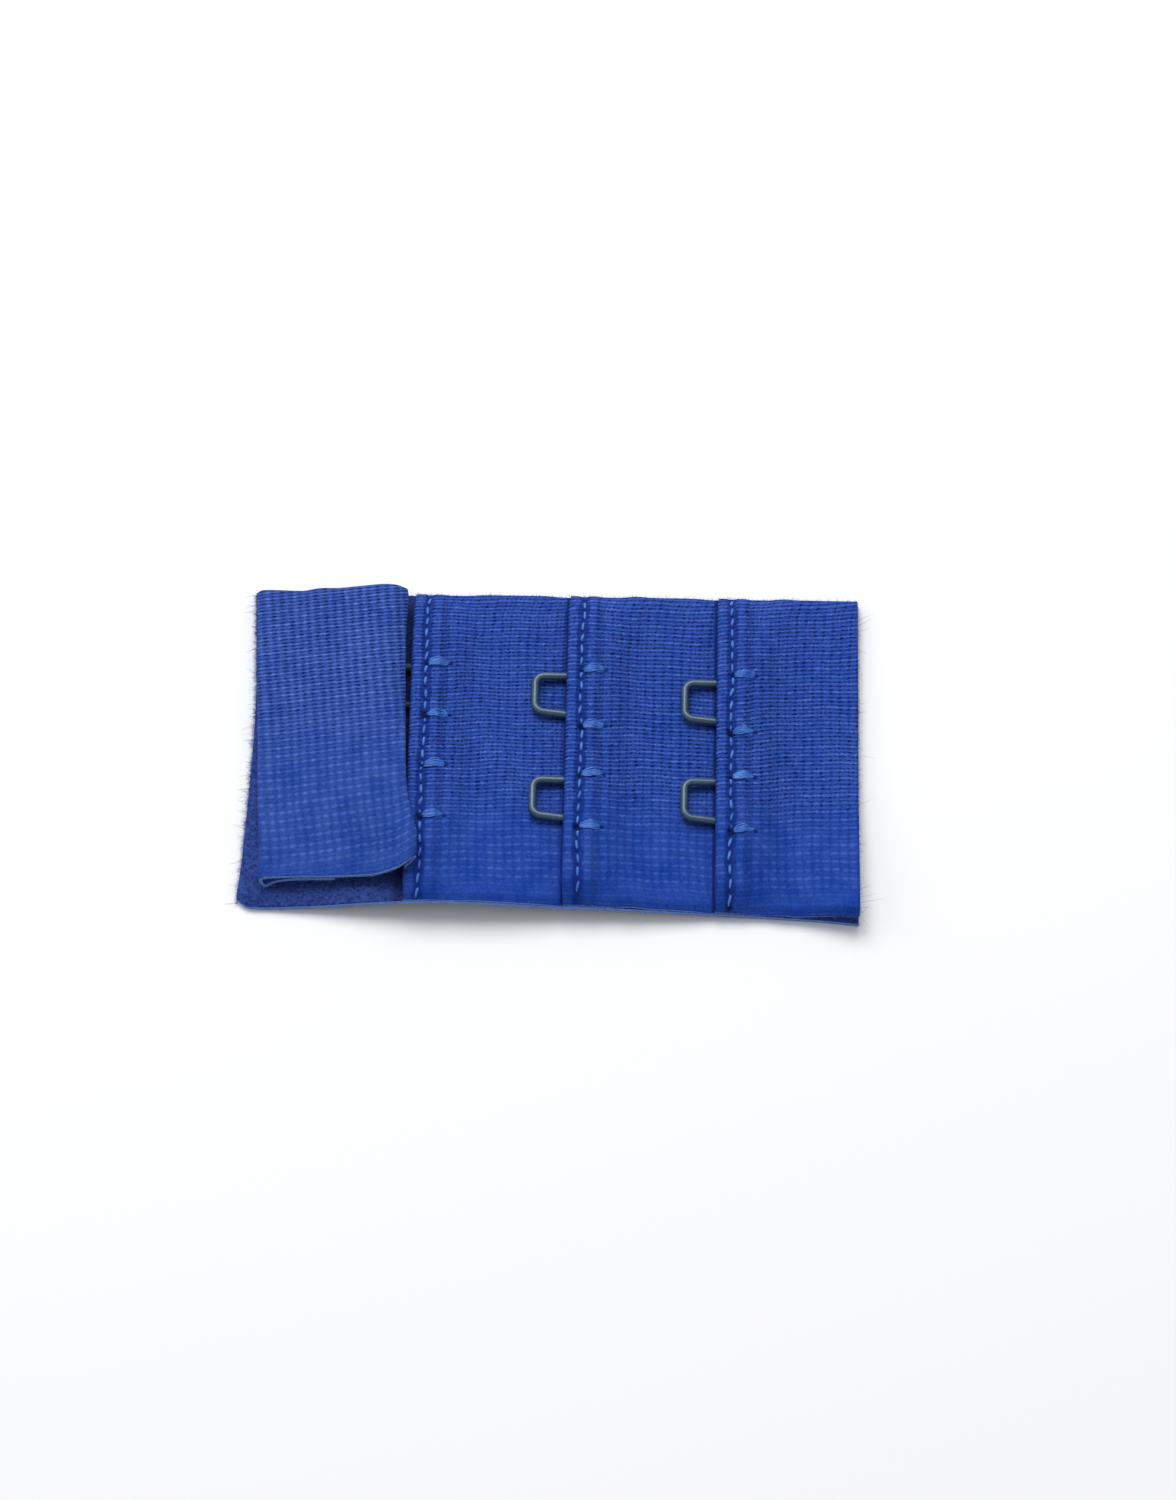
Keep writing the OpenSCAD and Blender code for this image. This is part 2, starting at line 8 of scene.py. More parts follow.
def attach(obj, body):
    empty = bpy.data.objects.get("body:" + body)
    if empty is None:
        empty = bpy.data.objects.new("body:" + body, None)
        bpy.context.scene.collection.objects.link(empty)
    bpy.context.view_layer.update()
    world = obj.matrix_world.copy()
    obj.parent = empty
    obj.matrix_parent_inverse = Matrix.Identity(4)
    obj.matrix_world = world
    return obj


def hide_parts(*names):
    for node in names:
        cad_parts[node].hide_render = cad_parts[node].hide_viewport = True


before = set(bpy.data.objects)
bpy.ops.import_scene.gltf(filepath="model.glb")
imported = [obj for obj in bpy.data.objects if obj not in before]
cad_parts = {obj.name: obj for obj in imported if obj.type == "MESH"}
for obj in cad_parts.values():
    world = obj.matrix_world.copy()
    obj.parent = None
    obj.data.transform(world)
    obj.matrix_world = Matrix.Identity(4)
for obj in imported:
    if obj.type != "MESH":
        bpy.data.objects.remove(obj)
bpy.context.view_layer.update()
MM = 0.001

# The studio table: a plain white sheet under a wide softbox, which hangs over its far side,
# and a weak one at its left. The camera looks down on it from 62 degrees, almost square to
# the clasp's front edge.
scene = bpy.context.scene
view_up = math.radians(62)
view_turn = math.radians(-1.16)
view_distance = 565
view_aim = np.array([3.87, 1.12, 0])
look = np.array([
    math.sin(view_turn) * math.cos(view_up),
    math.cos(view_turn) * math.cos(view_up),
    -math.sin(view_up),
])
view_right = np.array([math.cos(view_turn), -math.sin(view_turn), 0])
camera = bpy.data.objects.new("camera", bpy.data.cameras.new("camera"))
camera.data.lens = 126.6
camera.data.sensor_width = 36
camera.data.clip_start = 0.01
camera.data.clip_end = 10
camera_turn = np.column_stack([view_right, np.cross(view_right, look), -look])
camera.matrix_world = Matrix.Translation((view_aim - look * view_distance) * MM) @ Matrix(
    camera_turn.tolist()
).to_4x4()
scene.collection.objects.link(camera)
scene.camera = camera

table_half = 1.5
table_mesh = bpy.data.meshes.new("table")
table_mesh.from_pydata(
    [(x * table_half, y * table_half, 0) for x, y in ((-1, -1), (1, -1), (1, 1), (-1, 1))],
    [], [(0, 1, 2, 3)],
)
table = bpy.data.objects.new("table", table_mesh)
scene.collection.objects.link(table)
paper = bpy.data.materials.new("white_paper")
paper.use_nodes = True
paper_sockets = paper.node_tree.nodes["Principled BSDF"].inputs
paper_sockets["Base Color"].default_value = (0.84, 0.84, 0.85, 1)
paper_sockets["Roughness"].default_value = 0.9
paper_sockets["Specular IOR Level"].default_value = 0.1
table_mesh.materials.append(paper)

scene.view_settings.view_transform = "Standard"
scene.world = bpy.data.worlds.new("studio")
scene.world.use_nodes = True
room = scene.world.node_tree.nodes["Background"]
room.inputs["Color"].default_value = (0.98, 0.99, 1, 1)
room.inputs["Strength"].default_value = 0.52


def soft_light(name, place, size, power):
    """A square softbox, in metres, that faces the clasp."""
    light = bpy.data.lights.new(name, "AREA")
    light.size = size
    light.energy = power
    lamp = bpy.data.objects.new(name, light)
    turn = Vector(place).to_track_quat("Z", "Y").to_matrix().to_4x4()
    lamp.matrix_world = Matrix.Translation(place) @ turn
    scene.collection.objects.link(lamp)


soft_light("overhead_softbox", (-0.1, 0.38, 0.62), 0.5, 4.85)
soft_light("side_softbox", (-0.5, 0.1, 0.35), 0.25, 0.3)

# The backing of the eye tape: one length of nylon knit, 0.9 mm thick and brushed to a soft
# pile, that runs under everything and is cut hot at both long edges. Its left end is the
# bare tongue under the hook tape. It lies flat but for a low arch in its front edge.
TAPE_W = 38.0
TONGUE_L = 19.1
COLUMN_PITCH = 16.4
TAIL_L = 13.6
PLACKET_W = 1.65
BACKING_T = 0.9
CORNER_SPREAD = 0.7
CORNER_CUT = 1.7
CUT_ROUND = 0.9
ARCH_H = 2.2
ARCH_DEPTH = 0.66
ARCH_FALL = 1.5
CUT_SHARE = 0.7
CUT_BAND = 0.9
TAPE_L = TONGUE_L + 2 * COLUMN_PITCH + TAIL_L
X_LEFT = -TAPE_L / 2
X_RIGHT = TAPE_L / 2
FIRST_FOLD_X = X_LEFT + TONGUE_L - PLACKET_W
Y_BACK = (TAPE_W + CORNER_SPREAD) / 2
Y_FRONT = Y_BACK - TAPE_W
# Painted shade on the pile just before the first fold, in the gap beside the hook tape: how
# dark, how far before the fold its middle lies, and how far that reaches
FOLD_GAP_SHADE = 0.6
FOLD_GAP_SHADE_BEFORE = 0.3
FOLD_GAP_SHADE_REACH = 1.3
BACKING_WALE = 0.97
# Rows of (place, value), both as shares: how the front edge comes forward towards the tail,
# how far the left end is drawn in from front to back, and the arch along the tape
FRONT_EDGE = [(0, 0), (0.8, 0), (0.93, 0.45), (1, 1)]
LEFT_END = [(0, 0), (0.17, 0.02), (0.5, 0.042), (0.66, 0.045), (1, 0.012)]
ARCH = [
    (0.05, 0), (0.13, 0.27), (0.21, 0.68), (0.29, 0.97), (0.36, 1),
    (0.5, 0.66), (0.62, 0.5), (0.8, 0.08), (0.9, 0),
]


def unit(t):
    return np.clip(t, 0, 1)


def ease(t):
    u = unit(t)
    return u * u * (3 - 2 * u)


def mix(a, b, t):
    return a + (b - a) * t


def bell(distance, reach):
    """1 in the middle, falling smoothly to 0 at reach."""
    return 1 - ease(np.abs(distance) / reach)


def along(rows, x):
    """Smooth curve through rows of (place, value)."""
    place, value = np.array(rows, float).T
    x = np.clip(x, place[0], place[-1])
    before = np.maximum(np.arange(len(place)) - 1, 0)
    after = np.minimum(np.arange(len(place)) + 1, len(place) - 1)
    slope = (value[after] - value[before]) / (place[after] - place[before])
    i = np.clip(np.searchsorted(place, x, side="right") - 1, 0, len(place) - 2)
    step = place[i + 1] - place[i]
    rise = value[i + 1] - value[i]
    t = (x - place[i]) / step
    start = slope[i] * step - rise
    stop = slope[i + 1] * step - rise
    return value[i] + rise * t + t * (1 - t) * (start * (1 - t) - stop * t)


def rounding(share, fullness):
    """How far a round corner draws back an edge, from 0 to 1."""
    return 1 - np.sqrt(1 - fullness * share * share)


def front_y(x):
    return (
        Y_FRONT
        - CORNER_SPREAD * along(FRONT_EDGE, (x - X_LEFT) / TAPE_L)
        + CORNER_CUT * rounding(unit((X_LEFT + CORNER_CUT - x) / CORNER_CUT), CUT_ROUND)
    )


def left_x(y):
    return X_LEFT + TONGUE_L * along(LEFT_END, (y - Y_FRONT) / TAPE_W)


def lift(x, y):
    """Height of the tape's underside."""
    fall = unit(1 - (y - Y_FRONT) / (TAPE_W * ARCH_DEPTH)) ** ARCH_FALL
    return ARCH_H * along(ARCH, (x - X_LEFT) / TAPE_L) * fall


def pinch(y, front, back):
    """Share of its thickness that cloth keeps near hot-cut edges."""
    return mix(CUT_SHARE, 1, ease(np.minimum(y - front, back - y) / CUT_BAND))


def tape_pinch(x, y):
    return pinch(y, front_y(x), Y_BACK)


def show(name, points, faces, finish, corners=None, rim=None, rims=0, **states):
    """Makes an object of points in millimetres. corners are the cloth's own coordinates of
    each point. The last rims faces take the finish rim. States are values of each point that
    the finish reads by name."""
    mesh = bpy.data.meshes.new(name)
    mesh.from_pydata((np.asarray(points) * MM).tolist(), [], [list(map(int, f)) for f in faces])
    mesh.polygons.foreach_set("use_smooth", [True] * len(mesh.polygons))
    if corners is not None:
        layer = mesh.uv_layers.new(name="weave")
        used = np.zeros(len(mesh.loops), int)
        mesh.loops.foreach_get("vertex_index", used)
        layer.data.foreach_set("uv", np.asarray(corners, float)[used].ravel())
    for state, values in states.items():
        layer = mesh.attributes.new(state, "FLOAT", "POINT")
        layer.data.foreach_set("value", np.asarray(values, float))
    mesh.materials.append(finish)
    if rims:
        mesh.materials.append(rim)
        used = np.zeros(len(mesh.polygons), int)
        used[-rims:] = 1
        mesh.polygons.foreach_set("material_index", used)
    piece = bpy.data.objects.new(name, mesh)
    scene.collection.objects.link(piece)
    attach(piece, "root")
    return piece


def cloth(name, middle, thickness, corners, finish, relief=0, sunk=0, rubbed=0):
    """Closed sheet round the middle points [row, place]. Its face side is on the left of
    the way that each row runs, seen from the front. relief is added to the face side. The
    next value, from 0 to 1, is painted shade that darkens a place in a groove, pit or fold,
    or beside one. The last is how smooth the knit is, and how much darker it is painted as
    shade, from 0 to 1, and up to 1.5 right at the cut edge."""
    rows, places = thickness.shape
    run = np.gradient(middle, axis=1)
    climb = np.gradient(middle, axis=0)
    out = np.cross(run, climb)
    out /= np.linalg.norm(out, axis=2, keepdims=True)
    proud = thickness / 2 + relief
    face = middle + out * proud[..., None]
    back = middle - out * (thickness / 2)[..., None]
    points = np.concatenate([face, back[:, ::-1]], axis=1)
    ring = 2 * places
    start = np.arange(rows - 1)[:, None] * ring
    here = np.arange(ring)[None]
    there = (here + 1) % ring
    sides = np.stack(
        [start + here, start + there, start + ring + there, start + ring + here], axis=2
    )
    cap = np.arange(places - 1)
    front = np.stack([cap, ring - 1 - cap, ring - 2 - cap, cap + 1], axis=1)
    end = front[:, ::-1] + (rows - 1) * ring
    faces = np.concatenate([sides.reshape(-1, 4), front, end])

    def both(a):
        return np.concatenate([a, a[:, ::-1]], axis=1)

    return show(
        name, points.reshape(-1, 3), faces, finish, corners=both(corners).reshape(-1, 2),
        rim=cut_edge.material, rims=len(front) + len(end),
        sunk=both(sunk + 0 * thickness).ravel(), rubbed=both(rubbed + 0 * thickness).ravel(),
    )


class Value:
    """A socket of a finish. Sums on it add the nodes that work them out."""

    def __init__(self, finish, socket):
        self.finish = finish
        self.socket = socket

    def other(self, output):
        return Value(self.finish, self.socket.node.outputs[output])

    def math(self, operation, *values):
        return self.finish.add("Math", dict(enumerate((self,) + values)), operation=operation)

    def __add__(self, value):
        return self.math("ADD", value)

    def __sub__(self, value):
        return self.math("SUBTRACT", value)

    def __rsub__(self, value):
        return self.finish.add("Math", {0: value, 1: self}, operation="SUBTRACT")

    def __mul__(self, value):
        return self.math("MULTIPLY", value)

    def __pow__(self, value):
        return self.math("POWER", value)

    __radd__ = __add__
    __rmul__ = __mul__


class Finish:
    """A material. Its add method makes a node of a type, with its settings, the values or
    links of its sockets, and which output is wanted."""

    def __init__(self, name, **sockets):
        self.material = bpy.data.materials.new(name)
        self.material.use_nodes = True
        self.tree = self.material.node_tree
        self.shader = self.tree.nodes["Principled BSDF"]
        for socket, value in sockets.items():
            self.put(self.shader.inputs[socket.replace("_", " ")], value)

    def put(self, socket, value):
        if isinstance(value, Value):
            self.tree.links.new(value.socket, socket)
        else:
            socket.default_value = value

    def add(self, kind, values, output=0, **settings):
        node = self.tree.nodes.new("ShaderNode" + kind)
        for setting, value in settings.items():
            setattr(node, setting, value)
        for socket, value in values.items():
            self.put(node.inputs[socket], value)
        return Value(self, node.outputs[output])

    def blend(self, share, low, high):
        """Colour between low and high."""
        return self.add("Mix", {0: share, 6: low, 7: high}, output=2, data_type="RGBA")

    def colour(self, value):
        self.put(self.shader.inputs["Base Color"], value)

    def state(self, name):
        """A value that the mesh's points carry."""
        return self.add("Attribute", {}, output="Fac", attribute_name=name)

    def grain(self, pitch, detail=2.0, roughness=0.5):
        """Noise with spots of a size in millimetres, fixed to the piece."""
        place = self.add("TexCoord", {}, output="Object")
        return self.add("TexNoise", {
            "Vector": place, "Scale": 1 / (pitch * MM), "Detail": detail, "Roughness": roughness,
        }, output="Fac")

    def bump(self, height, depth, strength=1.0):
        """Low relief of a depth in millimetres."""
        self.put(self.shader.inputs["Normal"], self.add("Bump", {
            "Height": height, "Distance": depth * MM, "Strength": strength,
        }, output="Normal"))


def tone(red, green, blue):
    """Colour of a sample, given as 0 to 255 on a screen."""
    linear = [
        c / 255 / 12.92 if c < 11 else ((c / 255 + 0.055) / 1.055) ** 2.4
        for c in (red, green, blue)
    ]
    return (*linear, 1)


cut_edge = Finish("cut_edge", Roughness=0.9, Specular_IOR_Level=0.15)
cut_edge.colour(cut_edge.blend(
    cut_edge.grain(0.25, 3.0, 0.7) * 1.6 - 0.3, tone(64, 100, 180), tone(126, 156, 216)))
brushed = Finish("brushed_backing", Roughness=0.95, Specular_IOR_Level=0.15, Sheen_Weight=0.25,
                 Sheen_Roughness=0.6, Sheen_Tint=tone(90, 110, 190))
lint = brushed.grain(0.35, 4.0, 0.7)
clumps = brushed.grain(1.6, 3.0)
loose_pile = brushed.blend(
    lint * 2.4 + clumps * 0.4 - 0.95, tone(10, 25, 90), tone(60, 88, 164))
# Painted shade: by a point state, the pile goes near black beside the first fold.
brushed.colour(brushed.blend(brushed.state("sunk"), loose_pile, tone(10, 8, 30)))
brushed.bump(lint + clumps * 0.6, 0.22)

backing_rows = 130
backing_places = 220
v = np.linspace(0, 1, backing_rows)[:, None]
u = np.linspace(0, 1, backing_places)[None]
backing_y0 = mix(Y_FRONT, Y_BACK, v)
backing_x = mix(left_x(backing_y0), X_RIGHT, u)
backing_y = mix(front_y(backing_x), Y_BACK, v)
backing_size = BACKING_T * tape_pinch(backing_x, backing_y)
backing_z = lift(backing_x, backing_y) + backing_size / 2
backing_middle = np.stack([backing_x, backing_y, backing_z], axis=2)
backing = cloth(
    "backing", backing_middle, backing_size,
    np.stack([backing_x, backing_y], axis=2) / BACKING_WALE, brushed.material,
    sunk=FOLD_GAP_SHADE * bell(backing_x - FIRST_FOLD_X + FOLD_GAP_SHADE_BEFORE, FOLD_GAP_SHADE_REACH),
)
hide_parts("backing_tape")

# The three facings: fine knit, 0.5 mm thick. The left end of each is folded under into a
# placket and stitched down 1.65 mm behind the fold, through the backing, and its right end
# is tucked under the next placket. The last one is open at the tail, for the garment.
FACING_T = 0.5
# Space left between two pieces that lie on each other
GAP = 0.1
PLACKET_SLACK = 0.2
STITCH_PULL = 0.6
TURN_IN = 1.2
TURN_IN_FALL = 0.9
TUCK_L = 3.8
TUCK_FALL = 4.0
POCKET_GAPE = 2.3
POCKET_L = 7.0
GAPE_DEPTH = 0.5
GAPE_ACROSS = 1.3
# Length past the stitch line over which the facing's mesh is fine
FINE_L = 3.0
EYE_PITCH = 12.6
EYE_W = 4.4
EYE_REACH = 3.35
WIRE_D = 0.85
WIRE_R = WIRE_D / 2
LOOP_R = 0.7
LOOP_X = 1.2
WIRE_ROOM = WIRE_D + 2.5 * GAP
WIRE_DRAPE = 3.2
SPAN_FALL = 8.0
SPLAY = {1: math.radians(1.5), -1: math.radians(4.5)}
# For each column: how far its stitch line has drifted, in shares of the pitch, then the
# middle between its two eyes and the distance between them, in shares of EYE_PITCH
COLUMNS = [(0, 0.105, 1.01), (0.02, 0.013, 1.025), (0, 0.002, 0.955)]
WELD_SHARE = 0.42
WELD_BAND = 2.6
WELD_FADE = 2.4
FLAT_H = BACKING_T + GAP + FACING_T / 2


def stitch_x(k):
    return X_LEFT + TONGUE_L + (k + COLUMNS[k][0]) * COLUMN_PITCH


def fold_x(k):
    return stitch_x(k) - PLACKET_W


def row_y(k, side):
    return EYE_PITCH * (COLUMNS[k][1] + side * COLUMNS[k][2] / 2)


def bed_h(k):
    """Height of what a placket lies on."""
    return BACKING_T + GAP + (FACING_T + GAP if k else 0)


def weld(x, y):
    """The hot knife welds a placket's layers, from its fold to the end of what is tucked in."""
    stack = 0
    for k in range(3):
        outside = np.maximum(fold_x(k) - 3 * GAP - x, x - stitch_x(k) - TUCK_L)
        stack = np.maximum(stack, 1 - ease(outside / WELD_FADE))
    edge = np.minimum(y - front_y(x), Y_BACK - y)
    return mix(mix(1, WELD_SHARE, stack), 1, ease(edge / WELD_BAND))


def on_backing(x, y, h):
    """Height of a layer whose own height over the uncut tape's underside is h."""
    return lift(x, y) + (BACKING_T + (h - BACKING_T) * weld(x, y)) * tape_pinch(x, y)


def wire_share(k, x, y):
    """Share of the wire's room: the cloth spans flat over the loops of both eyes."""
    loop_end = LOOP_X + LOOP_R + WIRE_R
    spread = (EYE_REACH + PLACKET_W + LOOP_X) * math.tan(SPLAY[-1])
    half = EYE_W / 2 + spread + 2 * LOOP_R + WIRE_R
    beyond = np.maximum(np.maximum(row_y(k, -1) - half - y, y - row_y(k, 1) - half), 0)
    return (1 - ease((x - stitch_x(k) - loop_end) / WIRE_DRAPE)) * bell(beyond, SPAN_FALL)


def under_h(k, x, y):
    """Height of a facing's middle, where it lies on the wire or the bed."""
    return bed_h(k) + WIRE_ROOM * wire_share(k, x, y) + FACING_T / 2


def top_h(k, x, y):
    """Height of the middle of a facing's top layer, before it is on the lifted tape."""
    past = x - stitch_x(k)
    slack = GAP + (PLACKET_SLACK - GAP) * unit(np.abs(past) / (STITCH_PULL * PLACKET_W))
    turned = (FACING_T + slack) * (1 - ease((past - TURN_IN - GAP) / TURN_IN_FALL))
    return mix(under_h(k, x, y), FLAT_H, ease((past - TUCK_L - GAP) / TUCK_FALL)) + turned


def gape(x, y):
    """How far the tail's pocket opens."""
    return (
        POCKET_GAPE
        * unit(1 - (X_RIGHT - x) / POCKET_L)
        * unit(1 - (y - Y_FRONT) / (TAPE_W * GAPE_DEPTH)) ** GAPE_ACROSS
    )


def soften(points, rounds):
    """Rounds off the corners of each row's path."""
    for _ in range(rounds):
        points[:, 1:-1] = (points[:, :-2] + 2 * points[:, 1:-1] + points[:, 2:]) / 4
    return points


def path_length(middle):
    """Distance along each row, in millimetres, from its first point."""
    step = np.linalg.norm(np.diff(middle, axis=1), axis=2)
    return np.concatenate([np.zeros((len(middle), 1)), np.cumsum(step, axis=1)], axis=1)


def facing_middle(k, y0):
    """Middle points of a facing, and how far each has come round the fold, from 0 to 1."""
    r = (FACING_T + PLACKET_SLACK) / 2
    nose_x = fold_x(k) + FACING_T / 2 + r
    stop = stitch_x(k + 1) + TUCK_L if k < 2 else X_RIGHT
    low_x = np.linspace(stitch_x(k) + TURN_IN, nose_x, 16)[:-1]
    angle = np.linspace(0, math.pi, 15)
    near_x = np.linspace(nose_x, stitch_x(k) + FINE_L, 36)[1:]
    far_x = np.linspace(stitch_x(k) + FINE_L, stop, 56)[1:]
    top_x = np.concatenate([near_x, far_x])
    low_h = under_h(k, fold_x(k) + FACING_T / 2, y0)
    x = np.concatenate([low_x, nose_x - r * np.sin(angle), top_x])
    top = top_h(k, top_x[None], y0)
    if k == 2:
        top = top + gape(top_x[None], y0)
    h = np.concatenate([
        under_h(k, low_x[None], y0),
        low_h + r * (1 - np.cos(angle[None])),
        top,
    ], axis=1)
    x = np.broadcast_to(x, h.shape)
    yy = mix(front_y(x), Y_BACK, (y0 - Y_FRONT) / TAPE_W)
    z = on_backing(x, yy, h)
    turned = np.concatenate([0 * low_x, angle / math.pi, 0 * top_x + 1])
    return soften(np.stack([x, yy, z], axis=2), 2), np.broadcast_to(turned, h.shape)


# Middle of each bar tack along Y, column by column, from the back
TACKS = [(9.94, 3.65, -2.66, -8.98), (9.1, 2.29, -3.72, -10.1), (8.78, 1.85, -3.57, -9.94)]
TACK_START = 0.2
TACK_L = 2.2
STITCH_PITCH = 1.5
# Radius of the pit at a tack's start, and how far in front of the tack it lies, by turns
PITS = [(0.24, 0.3), (0.46, 0.32)]
PIT_RIM = 0.18
PIT_DEPTH = 0.3
END_PIT_R = 0.27
# The groove of a seam, its needle holes, their share of the pitch, and the painted shade beside it
GROOVE_DEPTH = 0.15
GROOVE_REACH = 0.75
HOLE_DEPTH = 0.14
HOLE_REACH = 0.4
HOLE_SHARE = 0.16
SEAM_SHADE_REACH = 0.72
SEAM_SHADE_FADE = 0.35
# How far the cloth swells round a tack
TACK_SWELL = 0.05


def stitch_line(k, y):
    """Place of the stitch line along X, which wanders a little."""
    return stitch_x(k) + 0.07 * np.sin(y / 3.1 + 2 * k) + 0.05 * np.sin(y / 1.3 + k)


def stitch_phase(k, y):
    return (y - Y_FRONT) / STITCH_PITCH + 0.37 * k


def pit_share(k, off, y):
    """How much of a place lies in a pit, where the tacks' needle tied the seam down."""
    pit = 0 * off
    for n, tack in enumerate(TACKS[k]):
        size, low = PITS[n % 2]
        inside = size + PIT_RIM - np.hypot(off, y - tack + low)
        pit = np.maximum(pit, 0.9 * ease(inside / (2 * PIT_RIM)))
    return pit


def seam_relief(k, x, y):
    """The groove that the stitches pull, its needle holes and the pits at the bar tacks, as
    a relief, and how much painted shade darkens each place in them and beside the seam."""
    off = x - stitch_line(k, y)
    phase = stitch_phase(k, y) % 1
    hole = np.maximum(bell(phase, HOLE_SHARE), bell(phase - 1, HOLE_SHARE))
    groove = GROOVE_DEPTH * bell(off, GROOVE_REACH) + HOLE_DEPTH * bell(off, HOLE_REACH) * hole
    seam = ease((SEAM_SHADE_REACH + 0.1 * np.sin(2.3 * y + k) - np.abs(off)) / SEAM_SHADE_FADE)
    pit = pit_share(k, off, y)
    proud = 0 * off
    for tack in TACKS[k]:
        end = np.hypot(off - TACK_START - TACK_L - 0.16, (y - tack) * 1.3)
        pit = np.maximum(pit, 0.85 * ease(1.3 - end / END_PIT_R))
        proud = np.maximum(proud, bell(off - TACK_START - TACK_L / 2, 1.5) * bell(y - tack, 0.9))
    # Painted shade in the seam's groove and needle holes; the pits' painted shade joins it.
    dark = 0.46 * seam + 0.3 * bell(off, 0.3) * hole
    return TACK_SWELL * proud - groove - PIT_DEPTH * pit, np.maximum(pit, dark)


def fold_shade(k, x, turned):
    """Painted shade: how dark a placket's fold is painted below its nose, and the facing beside
    the next fold.
    """
    nose = np.where(turned < 1, 0.88 * (1 - ease((turned - 0.35) / 0.4)), 0)
    beside = bell(x - fold_x(k + 1) - 0.05, 0.5) if k < 2 else 0
    return np.maximum(nose, 0.86 * beside * (turned >= 1))


def turns(phase):
    """Wave from 1 at whole numbers to 0 between them."""
    return (phase * (2 * math.pi)).math("COSINE") * 0.5 + 0.5


def knit_finish(name, strand_tone, light_tone, deep_tone, pores, lines, depth, loose):
    """Warp knit, seen on its face: two rows of pores, or short gaps, to a pair of courses,
    and fine strands that run along the tape. weave's coordinates count wales and pairs of
    courses. pores is how many gaps a row has to a wale, lines the strength of the
    strands, depth that of the gaps and loose how unevenly both lie. Where the cloth is
    rubbed, only the heads of its loops show, as light dots, and none right at the edge, and
    the cloth is painted a little darker there as shade. Grooves, needle holes, pits and
    folds are darkened by painted shade from a point state."""
    knit = Finish(name, Roughness=0.85, Specular_IOR_Level=0.1, Sheen_Weight=0.04,
                  Sheen_Roughness=0.4, Sheen_Tint=tone(90, 120, 220))
    weave = knit.add("SeparateXYZ", {0: knit.add("UVMap", {}, uv_map="weave")})
    slip = (knit.grain(0.3, 1.0) - 0.5) * loose
    wale = weave + (knit.grain(1.3, 2.0) - 0.5) * 0.4 + slip
    pair = weave.other("Y") + (knit.grain(1.1, 2.0) - 0.5) * 0.12 + slip * 0.5
    rubbed = knit.state("rubbed")
    fibre = knit.grain(0.2, 3.0, 0.7)
    patches = knit.grain(2.6, 3.0)

    def streaks(to_wale, to_pair, detail):
        """Noise with so many spots to a wale and to a pair of courses."""
        place = knit.add("CombineXYZ", {0: weave * to_wale, 1: pair * to_pair})
        return knit.add("TexNoise", {
            "Vector": place, "Scale": 1.0, "Detail": detail,
        }, output="Fac")

    drawn = streaks(0.45, 2, 2.0)
    dashes = streaks(1.7, 3.6, 1.0)
    across = turns(wale)
    if pores == 2:
        across = across + (turns(wale * 2) - across) * (patches * 2.4 - 0.65).math("MINIMUM", 0.8)
    pore = (turns(pair * 2) ** 1.8) * (across * 0.88 + 0.12) * (dashes * 2.6 - 0.4) * depth
    course = turns(pair + 0.25)
    strand = (turns(pair * 2 + 0.5) ** 1.8) * (course * 0.65 + 0.35) * (1 - across * 0.7)
    strand = strand * (drawn + dashes * 3.4 - 1.45) * lines
    head = (course ** 2.5 + turns(pair * 2 + 0.5) * 0.12) * (turns(wale + 0.5) * 0.9 + 0.1)
    head = head * (patches * 1.3 + dashes * 1.2 - 0.6)
    smooth = rubbed.math("MINIMUM", 1.0)
    edge = 2 * (rubbed - smooth)
    pore = pore * (1 - smooth * 0.8) + (turns(wale) ** 2) * (smooth - edge) * 0.08
    strand = strand * (1 - smooth * 0.9) + head * (smooth - edge * 0.9) * 0.38
    # Painted shade: the body is darker where the cloth is smooth, towards the front.
    body = knit.blend(patches * 1.2 + fibre * 1.6 - 0.9 - smooth * 0.2, strand_tone, tuple(
        0.68 * c + 0.32 * d for c, d in zip(strand_tone, light_tone)))
    woven = knit.blend(pore, knit.blend(strand, body, light_tone), deep_tone)
    # Painted shade: grooves, needle holes, pits and folds go deep blue, then near black.
    sunk = knit.state("sunk")
    groove_shade_share = (sunk * 2).math("MINIMUM", 1.0)
    groove = knit.blend(groove_shade_share * 0.8, woven, tone(6, 36, 108))
    knit.colour(knit.blend(sunk * 2 - 1, groove, tone(6, 10, 48)))
    knit.bump(strand * 0.4 - pore * 0.8 + fibre * 0.2, 0.12, 0.8)
    return knit.material


facing_knit = knit_finish("facing_knit", tone(5, 51, 141), tone(84, 115, 196), tone(2, 12, 76),
                          2, 0.75, 1.1, 0.6)
# How far, in mm, the knit's rows shift for each millimetre that the cloth rises
PULLED_ROWS = 0.5
# In front of this the knit gets smoother, and is painted darker as shade, towards the front
# edge, and smoothest right at it
RUBBED_SHADED_Y = -2.5
RUBBED_SHADED_FADE = 10.0
EDGE_BAND = 3.4
EDGE_FADE = 2.4
# For each facing: pairs of courses to a millimetre, how that grows towards its back, how far
# its rows climb to the right, and how much they wander
FACING_ROWS = [(1.08, 0.004, 0.03, 0.16), (1.03, 0.0, -0.01, 0.12), (1.04, 0.001, 0.085, 0.12)]
WALE = 0.975

